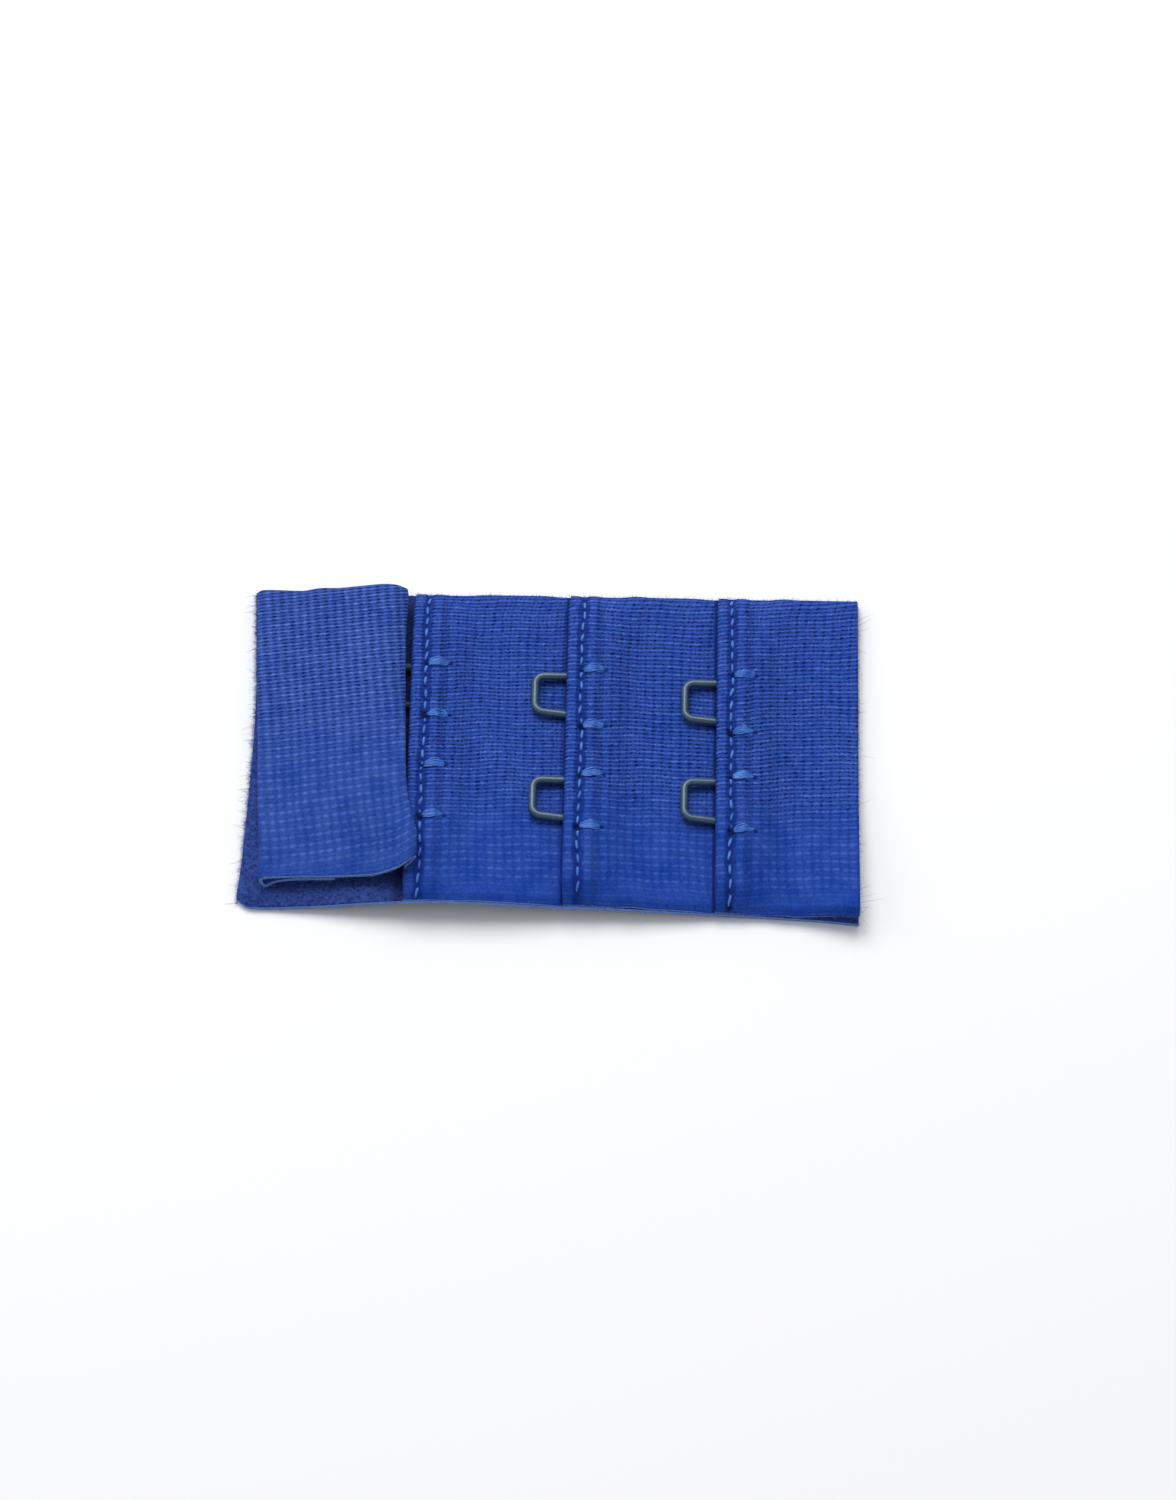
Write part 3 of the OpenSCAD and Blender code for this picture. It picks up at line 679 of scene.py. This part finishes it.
for k in range(3):
    y0 = np.linspace(Y_FRONT, Y_BACK, 190)[:, None]
    middle, turned = facing_middle(k, y0)
    x, y = middle[..., 0], middle[..., 1]
    size = FACING_T * tape_pinch(x, y) * weld(x, y)
    s = path_length(middle)
    t = np.broadcast_to(y0, s.shape) - (Y_FRONT + Y_BACK) / 2
    first_top = int(np.argmax(turned[0] >= 1))
    rise = middle[..., 2] - lift(x, y) - FLAT_H
    rise[:, :first_top] = rise[:, first_top:first_top + 1]
    t = t + PULLED_ROWS * rise
    rows, growth, climb, wander = FACING_ROWS[k]
    pairs = (
        rows * t + growth / 2 * t * t - climb * s
        + wander * np.sin(s / 2.7 + t / 6) * bell(t - 2, 20)
        + 0.5 * wander * np.sin(s / 1.1 + t / 3.3 + k)
    )
    corners = np.stack([s / WALE, pairs], axis=2)
    relief, sunk = seam_relief(k, x, y)
    on_top = ease((turned - 0.8) / 0.2)
    smoothest = 0.5 * ease((Y_FRONT + EDGE_BAND - y) / EDGE_FADE)
    piece = cloth("facing_%d_knit" % (k + 1), middle, size, corners, facing_knit,
                  relief=on_top * relief, sunk=np.maximum(on_top * sunk, fold_shade(k, x, turned)),
                  rubbed=ease((RUBBED_SHADED_Y - y) / RUBBED_SHADED_FADE) + smoothest)
    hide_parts("facing_%d" % (k + 1))
    mid_row = len(s) // 2

# The seams: one line of lockstitch holds each placket, and four bar tacks beside it hold the
# sewing loops of its two eyes. Both are sewn in bright polyester thread of a lighter blue.
THREAD_R = 0.155
TACK_THREAD_R = 0.085
# Share of the stitch pitch that the long strand covers
STITCH_SHARE = 0.76
# A tack's strands on each side of its middle one, their pitch, and how far a tack leans
TACK_STRANDS = 5
TACK_PITCH = 0.083
TACK_LEAN = 0.46


def flat_y(x, y):
    """Place across the uncut cloth of a place on the tape."""
    return Y_FRONT + (y - front_y(x)) / (Y_BACK - front_y(x)) * TAPE_W


def face_z(k, x, y):
    """Height of a placket's face side."""
    return on_backing(x, y, top_h(k, x, flat_y(x, y)) + FACING_T / 2)


def tube(path, radius, sides):
    """Points and faces of a round strand with closed ends."""
    path = np.asarray(path, float)
    way = np.gradient(path, axis=0)
    way /= np.linalg.norm(way, axis=1, keepdims=True)
    across = np.array([0.1, 0.2, 1.0])
    normals = []
    for t in way:
        across = across - t * (across @ t)
        across = across / np.linalg.norm(across)
        normals.append(across)
    normals = np.array(normals)
    side = np.cross(way, normals)
    angle = np.arange(sides) * 2 * math.pi / sides
    radius = np.broadcast_to(np.asarray(radius, float), len(path))
    points = path[:, None] + radius[:, None, None] * (
        normals[:, None] * np.cos(angle)[None, :, None]
        + side[:, None] * np.sin(angle)[None, :, None]
    )
    here = np.arange(sides)
    there = (here + 1) % sides
    start = np.arange(len(path) - 1)[:, None] * sides
    faces = np.stack(
        [start + here, start + sides + here, start + sides + there, start + there], axis=2
    ).reshape(-1, 4).tolist()
    last = (len(path) - 1) * sides
    return points.reshape(-1, 3), faces + [here.tolist(), (last + here[::-1]).tolist()]


def bundle(name, strands, radius, sides, finish, slim=0.0):
    """One object of many strands, each slimmer at its ends."""
    points, faces, count = [], [], 0
    for strand in strands:
        swell = np.sin(math.pi * np.linspace(0.08, 0.92, len(strand)))
        p, f = tube(strand, radius * (1 - slim + slim * swell), sides)
        points.append(p)
        faces += [[i + count for i in face] for face in f]
        count += len(p)
    return show(name, np.concatenate(points), faces, finish)


thread = Finish("sewing_thread", Roughness=0.5, Specular_IOR_Level=0.35, Sheen_Weight=0.08,
                Sheen_Roughness=0.3, Sheen_Tint=tone(150, 180, 240))
filament = thread.grain(0.09, 2.0)
thread.colour(thread.blend(
    filament + thread.grain(1.6) * 1.6 - 0.85, tone(28, 78, 172), tone(84, 138, 216)))
thread.bump(filament, 0.05, 0.7)

chance = np.random.default_rng(38)
for k in range(3):
    strands = []
    count = int(TAPE_W / STITCH_PITCH) + 2
    for n in range(-1, count):
        start = Y_FRONT + (n - 0.37 * k) * STITCH_PITCH
        t = np.linspace(0, 1, 13)
        low, high = 0.1 + 0.08 * chance.random(), STITCH_SHARE + 0.1 * chance.random()
        y = start + STITCH_PITCH * mix(low, high, t)
        if y.min() < front_y(stitch_x(k)) + 0.05 or y.max() > Y_BACK - 0.05:
            continue
        slant = 0.4 * chance.random() - 0.1
        x = stitch_line(k, y) + slant * (t - 0.5) + 0.14 * (chance.random() - 0.5)
        z = face_z(k, x, y) - 0.12 + 0.06 * np.sin(math.pi * t) - 0.2 * (2 * t - 1) ** 6
        z = z - 0.09 * chance.random() - 0.7 * pit_share(k, x - stitch_line(k, y), y)
        strands.append(np.stack([x, y, z], axis=1))
    seam = bundle("stitches_%d" % (k + 1), strands, THREAD_R, 8, thread.material, 0.45)
    strands = []
    for tack in TACKS[k]:
        lean = TACK_LEAN + 0.16 * (chance.random() - 0.5)
        for n in range(-TACK_STRANDS, TACK_STRANDS + 1):
            t = np.linspace(0, 1, 13)
            x0 = stitch_line(k, tack) + TACK_START + 0.08 * abs(n) * chance.random()
            x1 = stitch_line(k, tack) + TACK_START + TACK_L - 0.15 * abs(n) * chance.random()
            x = mix(x0, x1, t)
            spread = 0.5 + 0.5 * np.sin(math.pi * (0.1 + 0.8 * t))
            y = tack - 0.1 + TACK_PITCH * (n + 1.2 * (chance.random() - 0.5)) * spread
            y = y + lean * (t * t - 0.3)
            y = y + 0.05 * np.sin(5 * t + 2.3 * n)
            z = face_z(k, x, y) + 0.04 * np.sin(math.pi * t)
            z = z + 0.07 + 0.07 * chance.random() - 0.18 * (2 * t - 1) ** 10
            strands.append(np.stack([x, y, z], axis=1))
    tack_piece = bundle("bar_tacks_%d" % (k + 1), strands, TACK_THREAD_R, 6, thread.material)

# The eyes and hooks: steel wire, 0.85 mm thick with its dark blue-grey enamel. An eye is a
# squared loop whose legs end in sewing loops inside its placket. A hook is a doubled wire
# whose nose turns down round an eye's bar, so that its bill lies under it.
EYE_CORNER_R = 1.05
EYE_RISE = math.radians(3.5)
HOOK_W = 1.1
BILL_L = 2.6
SHANK_L = 5.0
SHANK_SLOPE = math.radians(13)
# Angle through which a hook's sewing loop turns, in degrees
HOOK_LOOP = 200
NOSE_R = WIRE_D + GAP
# An eye that holds a hook rises until the hook's bill clears the backing
HOOKED_RISE = math.atan(NOSE_R / EYE_REACH)
WIRE_SIDES = 18
# Distance to each side over which the tape's tilt under a wire is taken
TILT_STEP = 1.5


def on_tape(path, k, side, h):
    """Sets a wire whose origin is the middle of an eye's bar on the lifted tape."""
    x, y = fold_x(k), row_y(k, side)
    rise_x = (lift(x + TILT_STEP, y) - lift(x - TILT_STEP, y)) / (2 * TILT_STEP)
    rise_y = (lift(x, y + TILT_STEP) - lift(x, y - TILT_STEP)) / (2 * TILT_STEP)
    turn = (
        Matrix.Translation((x, y, float(lift(x, y))))
        @ Matrix.Rotation(-math.atan(rise_x), 4, "Y")
        @ Matrix.Rotation(math.atan(rise_y), 4, "X")
        @ Matrix.Translation((-EYE_REACH, 0, h))
    )
    turn = np.array(turn)
    return np.asarray(path) @ turn[:3, :3].T + turn[:3, 3]


def arc(start, stop, count):
    return [math.radians(mix(start, stop, i / count)) for i in range(count + 1)]


def straight(a, b, count):
    """Points between two ends, without them."""
    return [tuple(np.array(a) + (np.array(b) - a) * i / count) for i in range(1, count)]


def eye_half(rise, splay):
    """An eye's back half, from its bar round a corner and along the leg to the loop."""
    r = EYE_CORNER_R
    corner = [
        (r * (1 + math.cos(a)), EYE_W / 2 - r * (1 - math.sin(a)))
        for a in arc(180, 90 + math.degrees(splay), 12)
    ]
    leg_x, leg_y = corner[-1][0] * math.cos(rise), corner[-1][1]
    low = -EYE_REACH * math.tan(rise)
    corner = [(x * math.cos(rise), y, -x * math.sin(rise)) for x, y in corner]
    fold = (EYE_REACH, leg_y + (EYE_REACH - leg_x) * math.tan(splay), low)
    loop_x = EYE_REACH + PLACKET_W + LOOP_X
    loop_y = leg_y + (loop_x - leg_x) * math.tan(splay) + LOOP_R
    loop = [
        (loop_x + LOOP_R * math.cos(a), loop_y + LOOP_R * math.sin(a), low)
        for a in arc(-90, 90, 16)
    ]
    return corner + straight(corner[-1], fold, 6) + [fold] + straight(fold, loop[0], 6) + loop


def mirrored(path):
    return [(x, -y, z) for x, y, z in path]


def hook_half():
    """A hook's back strand, from its bill round the nose and down the shank to the loop."""
    r = HOOK_W / 2
    slope = math.degrees(SHANK_SLOPE)
    shank_x = NOSE_R * math.cos(math.radians(90 + slope)) - SHANK_L * math.cos(SHANK_SLOPE)
    shank_z = NOSE_R * math.sin(math.radians(90 + slope)) - SHANK_L * math.sin(SHANK_SLOPE)
    tip = [(r * math.cos(a) - BILL_L, r * math.sin(a), -NOSE_R) for a in arc(180, 90, 8)]
    nose = [(NOSE_R * math.cos(a), r, NOSE_R * math.sin(a)) for a in arc(-90, 90 + slope, 20)]
    loop = [
        (shank_x + LOOP_R * math.cos(a), r + LOOP_R * (1 + math.sin(a)), shank_z)
        for a in arc(-90, -90 - HOOK_LOOP, 20)
    ]
    return tip + straight(tip[-1], nose[0], 5) + nose + straight(nose[-1], loop[0], 6) + loop


enamel = Finish("enamelled_wire", Roughness=0.42, Specular_IOR_Level=0.6,
                Specular_Tint=tone(185, 215, 245), Coat_Weight=0.5, Coat_Roughness=0.2)
flow = enamel.grain(0.9, 3.0)
enamel.colour(enamel.blend(
    flow * 1.3 - 0.15, tone(32, 54, 70), tone(54, 80, 98)))

eye_rows = [(k, side) for k in range(3) for side in (1, -1)]
for k, side in eye_rows:
    rise = EYE_RISE if k else HOOKED_RISE
    path = eye_half(rise, SPLAY[1])[::-1] + straight(
        (0, EYE_W / 2 - EYE_CORNER_R, 0), (0, EYE_CORNER_R - EYE_W / 2, 0), 6
    ) + mirrored(eye_half(rise, SPLAY[-1]))
    height = bed_h(k) + GAP + WIRE_R + EYE_REACH * math.tan(rise)
    points, faces = tube(on_tape(path, k, side, height), WIRE_R, WIRE_SIDES)
    name = "eye_%d_%s" % (k + 1, "back" if side > 0 else "front")
    eye = show(name + "_wire", points, faces, enamel.material)
    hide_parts(name)

BAR_H = BACKING_T + GAP + GAP + WIRE_R + EYE_REACH * math.tan(HOOKED_RISE)
for side in (1, -1):
    half = hook_half()
    path = on_tape(half[::-1] + mirrored(half[1:]), 0, side, BAR_H)
    points, faces = tube(path, WIRE_R, WIRE_SIDES)
    name = "hook_%s" % ("back" if side > 0 else "front")
    hook = show(name + "_wire", points, faces, enamel.material)
    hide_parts(name)

# The hook tape: a coarser warp knit, cut hot across both ends and folded into a flat tube
# 16.6 mm wide. It lies over the hooks and hides them. Its left fold stands a little open,
# where the garment will be sewn on.
FLAP_L = 16.6
FLAP_W = 34.7
FLAP_INSET = 0.8
FLAP_T = 0.6
FLAP_PUFF = 2.0
FLAP_CORNER_R = 3.0
FLAP_LIP = 1.0
FLAP_ROUND = 0.97
FLAP_SETBACK = 0.5
HEM_W = 1.3
HEM_CLIMB = 0.4
# Share of FLAP_W over which the front's lie changes to the back's
FRONT_FADE = 0.3
# Sag of the top layer left of the hooks, as shares of FLAP_PUFF and of the flap's length
SAG_DEPTH = 0.06
SAG_PLACE = 0.4
SAG_REACH = 0.3
# Shares of the flap's length at which the front's top starts for the hem, and takes to it
HEM_START = 0.7
HEM_REACH = 0.25
# Lengths over which the ridge over a hook ends, and the left fold comes to the flap's height
RIDGE_FALL = 3
FOLD_FALL = 1.6
# How far the lip reaches, as shares of FLAP_L, FLAP_W and FLAP_PUFF
LIP_ALONG = 0.34
LIP_ACROSS = 0.06
LIP_UP = 0.45
# The front's smoother knit, painted darker as shade, as a place and a fade in mm, then
# shares of FLAP_W at the edge
FLAP_RUBBED_SHADED_Y = 9.0
FLAP_RUBBED_SHADED_FADE = 17
FLAP_EDGE_BAND = 0.085
FLAP_EDGE_FADE = 0.07
# As in FACING_ROWS
FLAP_ROWS = (1.08, 0.009, 0.14, 0.05)
FLAP_Y_BACK = Y_BACK - FLAP_INSET
FLAP_Y_FRONT = FLAP_Y_BACK - FLAP_W
# Rows of (place, value), both as shares: how far right of straight the flap's left fold and
# right edge lie, from front to back, and how high the top layer and the lower one lie at its
# front, from left to right
LEFT_FOLD = [(0, 0.108), (0.1, 0.1), (0.28, 0.075), (0.5, 0.055), (0.8, 0.02), (1, 0)]
RIGHT_EDGE = [(0, 0.125), (0.1, 0.115), (0.28, 0.045), (0.5, 0.018), (0.8, -0.005), (1, 0)]
FRONT_TOP = [(0, 1), (0.12, 1.03), (0.25, 1.04), (0.5, 0.9), (0.75, 0.88), (1, 1.3)]
FRONT_UNDER = [(0, 0.05), (0.12, 0.25), (0.25, 0.42), (0.5, 0.28), (0.75, 0.26), (1, 0.6)]
FLAP_RIGHT_X = fold_x(0) - FLAP_SETBACK
BAR_X = fold_x(0) - EYE_REACH
HOOK_LOOP_X = BAR_X - SHANK_L * math.cos(SHANK_SLOPE)


def flap_x0(v):
    return FLAP_RIGHT_X - FLAP_L + FLAP_L * along(LEFT_FOLD, v)


def flap_x1(v):
    return FLAP_RIGHT_X + FLAP_L * along(RIGHT_EDGE, v)


def flap_y(x, v):
    over = unit((x - (flap_x1(0.0) - FLAP_CORNER_R)) / FLAP_CORNER_R)
    return mix(FLAP_Y_FRONT + FLAP_CORNER_R * rounding(over, FLAP_ROUND), FLAP_Y_BACK, v)


def ridge_h(x):
    """Underside of the top layer over a hook."""
    shank_top = (
        BAR_H + (NOSE_R + WIRE_R) / math.cos(SHANK_SLOPE) - BACKING_T
        - (BAR_X - np.clip(x, HOOK_LOOP_X, BAR_X)) * math.tan(SHANK_SLOPE)
    )
    past_loops = HOOK_LOOP_X - LOOP_R - WIRE_D - x
    return shank_top + 2 * GAP - FLAP_PUFF / 2 * ease(past_loops / RIDGE_FALL)


def hem_low(v):
    """Underside of the turned-in cloth, which clears the eye's legs and the placket."""
    bar_rise = EYE_REACH * math.tan(HOOKED_RISE)
    clear = WIRE_D + bar_rise * (HEM_W + FLAP_SETBACK) / EYE_REACH + 3 * GAP
    x = fold_x(0) + PLACKET_W / 2
    placket = top_h(0, x, flap_y(flap_x1(v), v)) + FACING_T / 2 - BACKING_T + GAP
    return mix(clear, placket, ease((flap_x1(v) - fold_x(0)) / HEM_CLIMB + 1))


def hem_top(v):
    return hem_low(v) + 2 * FLAP_T + 2 * GAP


def flap_top_h(x, v):
    u = (x - flap_x0(v)) / (flap_x1(v) - flap_x0(v))
    sag = FLAP_PUFF * (1 - SAG_DEPTH * bell(u - SAG_PLACE, SAG_REACH))
    past_nose = (x - BAR_X - NOSE_R) / (flap_x1(v) - BAR_X - NOSE_R)
    back = mix(np.maximum(ridge_h(x) + FLAP_T, sag), hem_top(v), ease(past_nose))
    front = mix(FLAP_PUFF * along(FRONT_TOP, u), hem_top(v), ease((u - HEM_START) / HEM_REACH))
    return mix(front, back, ease(v / FRONT_FADE))


def flap_under_h(x, v):
    u = (x - flap_x0(v)) / (flap_x1(v) - flap_x0(v))
    return mix(FLAP_PUFF * along(FRONT_UNDER, u), GAP, ease(v / FRONT_FADE))


def lip_reach(x, h, v):
    """How far the lower layer comes out at the left front corner."""
    beside = ease(1 - (x - flap_x0(v)) / (LIP_ALONG * FLAP_L))
    return FLAP_LIP * beside * unit(1 - v / LIP_ACROSS) * ease(1 - h / (LIP_UP * FLAP_PUFF))


def flap_middle(v):
    """Middle points from the lower layer's lip round the left fold, over the top and round
    the right edge."""
    half = FLAP_T / 2
    lip_x = BAR_X - BILL_L - HOOK_W / 2 - WIRE_R - 2 * GAP
    x0, x1 = flap_x0(v), flap_x1(v)
    low = flap_under_h(x0, v) + half
    r0 = (flap_top_h(x0, v) - half - low) / 2
    r1 = half + GAP
    centre0 = x0 + half + r0
    centre1 = x1 - half - r1
    angle = np.linspace(0, math.pi, 13)[None]
    low_x = mix(lip_x, centre0, np.linspace(0, 0.97, 28)[None])
    top_x = mix(centre0, centre1, np.linspace(0.01, 0.99, 70)[None])
    top = flap_top_h(top_x, v) - half
    fold_over = low + 2 * r0 - flap_top_h(centre0, v) + half
    top = top + fold_over * (1 - ease((top_x - centre0) / FOLD_FALL))
    hem_x = np.linspace(0.15, 1, 7)[None] * (HEM_W - half - r1) * -1 + centre1
    x = np.concatenate([
        low_x,
        centre0 - r0 * np.sin(angle),
        top_x,
        centre1 + r1 * np.sin(angle),
        hem_x,
    ], axis=1)
    h = np.concatenate([
        flap_under_h(low_x, v) + half,
        low + r0 * (1 - np.cos(angle)),
        top,
        hem_low(v) + half + r1 * (1 + np.cos(angle)),
        hem_low(v) + half + 0 * hem_x,
    ], axis=1)
    y = flap_y(x, v) - lip_reach(x, h, v)
    return soften(np.stack([x, y, lift(x, y) + BACKING_T + h], axis=2), 5)


v = np.linspace(0, 1, 170)[:, None]
middle = flap_middle(v)
size = FLAP_T * pinch(middle[..., 1], flap_y(middle[..., 0], 0.0), FLAP_Y_BACK)
s = path_length(middle)
flap_rise = middle[..., 2] - lift(middle[..., 0], middle[..., 1]) - BACKING_T
mid_row = len(v) // 2
bottom = int(np.argmin(middle[mid_row, :, 0]))
flap_rise[:, :bottom] = flap_rise[:, bottom:bottom + 1]
t = (v - 0.5) * FLAP_W + PULLED_ROWS * (flap_rise - flap_rise.mean())
rows, growth, climb, wander = FLAP_ROWS
climb = climb + 0.02 * np.sin(t / 9)
left_bend = 0.35 * ease((11 - s) / 5)
pairs = (
    rows * t + growth / 2 * t * t - climb * (s - 20) - left_bend
    + wander * np.sin(s / 4.3 + t / 9)
)
flap_knit = knit_finish("hook_tape_knit", tone(15, 55, 138), tone(98, 124, 200), tone(5, 20, 84),
                        1, 0.85, 1.0, 0.4)
smoothest = 0.5 * ease((FLAP_EDGE_BAND - v) / FLAP_EDGE_FADE)
hook_tape = cloth(
    "hook_tape_knit", middle, size, np.stack([s / WALE + 0 * t, pairs], axis=2), flap_knit,
    rubbed=ease((FLAP_RUBBED_SHADED_Y - middle[..., 1]) / FLAP_RUBBED_SHADED_FADE) + smoothest,
)
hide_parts("hook_tape")

# The cut ends of the yarns: a short pale fuzz where the hot knife went, a thicker pile that
# leans out of the brushed backing at the tongue, and a few long hairs at the tail. They are
# loose ends of nylon filament, 0.03 to 0.04 mm thick.
FUZZ_R = 0.018
HAIR_R = FUZZ_R * 0.9
CURL = 0.5
# How many fibres each place gets, before those that the hook tape hides are left out
FRONT_FUZZ = 2600
BACK_FUZZ = 1900
LEFT_PILE = 1500
TOP_PILE = 5200
TAIL_HAIRS = 900
FLAP_FUZZ = 1700


def fringe(name, roots, ways, lengths, radius, finish):
    """Fine curved fibres: their roots, the ways that they lean and how long they are."""
    count = len(roots)
    ways = ways / np.linalg.norm(ways, axis=1, keepdims=True)
    bend = chance.normal(0, CURL, (count, 3))
    t = np.linspace(0, 1, 4)[None, :, None]
    path = roots[:, None] + lengths[:, None, None] * (ways[:, None] * t + bend[:, None] * t * t)
    path[..., 2] = np.maximum(path[..., 2], 2 * radius)
    side = np.cross(ways, [0.31, 0.22, 0.93])
    side /= np.linalg.norm(side, axis=1, keepdims=True)
    third = np.cross(ways, side)
    angle = np.arange(3) * 2 * math.pi / 3
    ring = (
        side[:, None] * np.cos(angle)[None, :, None]
        + third[:, None] * np.sin(angle)[None, :, None]
    )
    taper = np.array([1, 0.95, 0.8, 0.35])[None, :, None, None]
    points = path[:, :, None] + radius * taper * ring[:, None]
    here = np.arange(3)
    there = (here + 1) % 3
    level = np.arange(3)[:, None] * 3
    sides = np.stack([level + here, level + there, level + 3 + there, level + 3 + here], axis=2)
    start = np.arange(count)[:, None, None] * 12
    faces = (sides.reshape(1, -1, 4) + start).reshape(-1, 4).tolist()
    ends = (np.array([[2, 1, 0], [9, 10, 11]])[None] + start).reshape(-1, 3).tolist()
    return show(name, points.reshape(-1, 3), faces + ends, finish)


def scatter(low, high, count):
    return low + (high - low) * chance.random(count)


fuzz = Finish("cut_yarn_ends", Roughness=0.8, Specular_IOR_Level=0.2)
fuzz.colour(fuzz.blend(fuzz.grain(0.7), tone(84, 120, 194), tone(146, 174, 226)))
pile = Finish("pile_fibres", Roughness=0.9, Specular_IOR_Level=0.15)
pile.colour(pile.blend(pile.grain(0.8), tone(40, 66, 146), tone(104, 130, 200)))


def stack_edge(x, y):
    """Height of the rim of the topmost cloth of the eye tape near its cut edges, and how
    thick that cloth is there."""
    top = on_backing(x, y, BACKING_T)
    thick = BACKING_T * CUT_SHARE + 0 * x
    for k in range(3):
        stop = stitch_x(k + 1) if k < 2 else X_RIGHT + 1
        over = (x >= fold_x(k)) & (x < stop)
        layer = on_backing(x, y, top_h(k, x, flat_y(x, y)) + FACING_T / 2)
        if k == 2:
            layer = layer + gape(x, flat_y(x, y)) * tape_pinch(x, y)
        top = np.where(over, layer, top)
        thick = np.where(over, FACING_T * CUT_SHARE, thick)
    return top, thick


front_x = scatter(X_LEFT + CORNER_CUT, X_RIGHT, FRONT_FUZZ)
front = front_y(front_x)
front_top, front_thick = stack_edge(front_x, front)
on_rim = chance.random(FRONT_FUZZ) < 0.55
front_top = np.where(on_rim, front_top, on_backing(front_x, front, BACKING_T))
front_thick = np.where(on_rim, front_thick, BACKING_T * CUT_SHARE)
front_z = front_top - front_thick * chance.random(FRONT_FUZZ)
front_roots = np.stack([front_x, front + 0.02, front_z], axis=1)
front_ways = chance.normal(0, 0.45, (FRONT_FUZZ, 3)) + [0, -1, 0.1]
back_x = scatter(X_LEFT + 0.3, X_RIGHT, BACK_FUZZ)
back_top, back_thick = stack_edge(back_x, Y_BACK + 0 * back_x)
back_z = back_top - back_thick * chance.random(BACK_FUZZ)
back_roots = np.stack([back_x, Y_BACK + 0 * back_x - 0.02, back_z], axis=1)
back_ways = chance.normal(0, 0.4, (BACK_FUZZ, 3)) + [0, 1, 0.4]
fuzz_lengths = np.concatenate([scatter(0.04, 0.16, FRONT_FUZZ), scatter(0.08, 0.3, BACK_FUZZ)])
edge_fuzz = fringe(
    "cut_edge_fuzz", np.concatenate([front_roots, back_roots]),
    np.concatenate([front_ways, back_ways]), fuzz_lengths, FUZZ_R, fuzz.material,
)

left_y = scatter(Y_FRONT + 0.6, Y_BACK, LEFT_PILE)
left_end = left_x(left_y)
left_thick = BACKING_T * tape_pinch(left_end, left_y)
left_z = lift(left_end, left_y) + left_thick * chance.random(LEFT_PILE)
left_roots = np.stack([left_end + 0.03, left_y, left_z], axis=1)
left_ways = chance.normal(0, 0.5, (LEFT_PILE, 3)) + [-1, 0, 0.15]
left_lengths = scatter(0.12, 0.5, LEFT_PILE) + 0.5 * (chance.random(LEFT_PILE) > 0.94)
top_x = scatter(X_LEFT, FLAP_RIGHT_X, TOP_PILE)
top_y = scatter(Y_FRONT, Y_BACK, TOP_PILE)
near_rim = (top_x < flap_x0(0.5) + 0.5) | (top_y < FLAP_Y_FRONT - 1.2)
inside = (top_x > left_x(top_y)) & (top_y > front_y(top_x) + 0.05) & near_rim
top_x, top_y = top_x[inside], top_y[inside]
top_z = lift(top_x, top_y) + BACKING_T * tape_pinch(top_x, top_y) - 0.03
top_roots = np.stack([top_x, top_y, top_z], axis=1)
top_ways = chance.normal(0, 0.7, (len(top_x), 3)) + [0, 0, 0.6]
pile_lengths = np.concatenate([left_lengths, scatter(0.12, 0.34, len(top_x))])
backing_pile = fringe(
    "backing_pile", np.concatenate([left_roots, top_roots]),
    np.concatenate([left_ways, top_ways]), pile_lengths, FUZZ_R, pile.material,
)

right_y = scatter(front_y(X_RIGHT), Y_BACK, TAIL_HAIRS)
right_top, right_thick = stack_edge(X_RIGHT + 0 * right_y - 0.01, right_y)
on_rim = chance.random(TAIL_HAIRS) < 0.5
right_top = np.where(on_rim, right_top, on_backing(X_RIGHT, right_y, BACKING_T))
right_thick = np.where(on_rim, right_thick, BACKING_T * CUT_SHARE)
right_z = right_top - right_thick * chance.random(TAIL_HAIRS)
right_roots = np.stack([X_RIGHT + 0 * right_y - 0.02, right_y, right_z], axis=1)
right_ways = chance.normal(0, 0.5, (TAIL_HAIRS, 3)) + [1, 0, 0.1]
is_long = chance.random(TAIL_HAIRS) > 0.965
hair_lengths = scatter(0.08, 0.26, TAIL_HAIRS) + is_long * scatter(0.5, 1.1, TAIL_HAIRS)
tail_hairs = fringe("tail_hairs", right_roots, right_ways, hair_lengths, HAIR_R, pile.material)

rim = middle[0]
rim_way = np.gradient(rim, axis=0)
rim_out = np.cross(rim_way, [0, -1, 0])
rim_out /= np.linalg.norm(rim_out, axis=1, keepdims=True)
pick = scatter(0, len(rim) - 1.001, FLAP_FUZZ)
low_pick = pick.astype(int)
part = (pick - low_pick)[:, None]
rim_place = rim[low_pick] * (1 - part) + rim[low_pick + 1] * part
rim_size = (FLAP_T * CUT_SHARE * (chance.random(FLAP_FUZZ) - 0.5))[:, None]
rim_ways = chance.normal(0, 0.45, (FLAP_FUZZ, 3)) + [0, -1, 0.1]
flap_fuzz = fringe(
    "hook_tape_fuzz", rim_place + rim_out[low_pick] * rim_size + [0, 0.02, 0], rim_ways,
    scatter(0.04, 0.16, FLAP_FUZZ), FUZZ_R, fuzz.material,
)
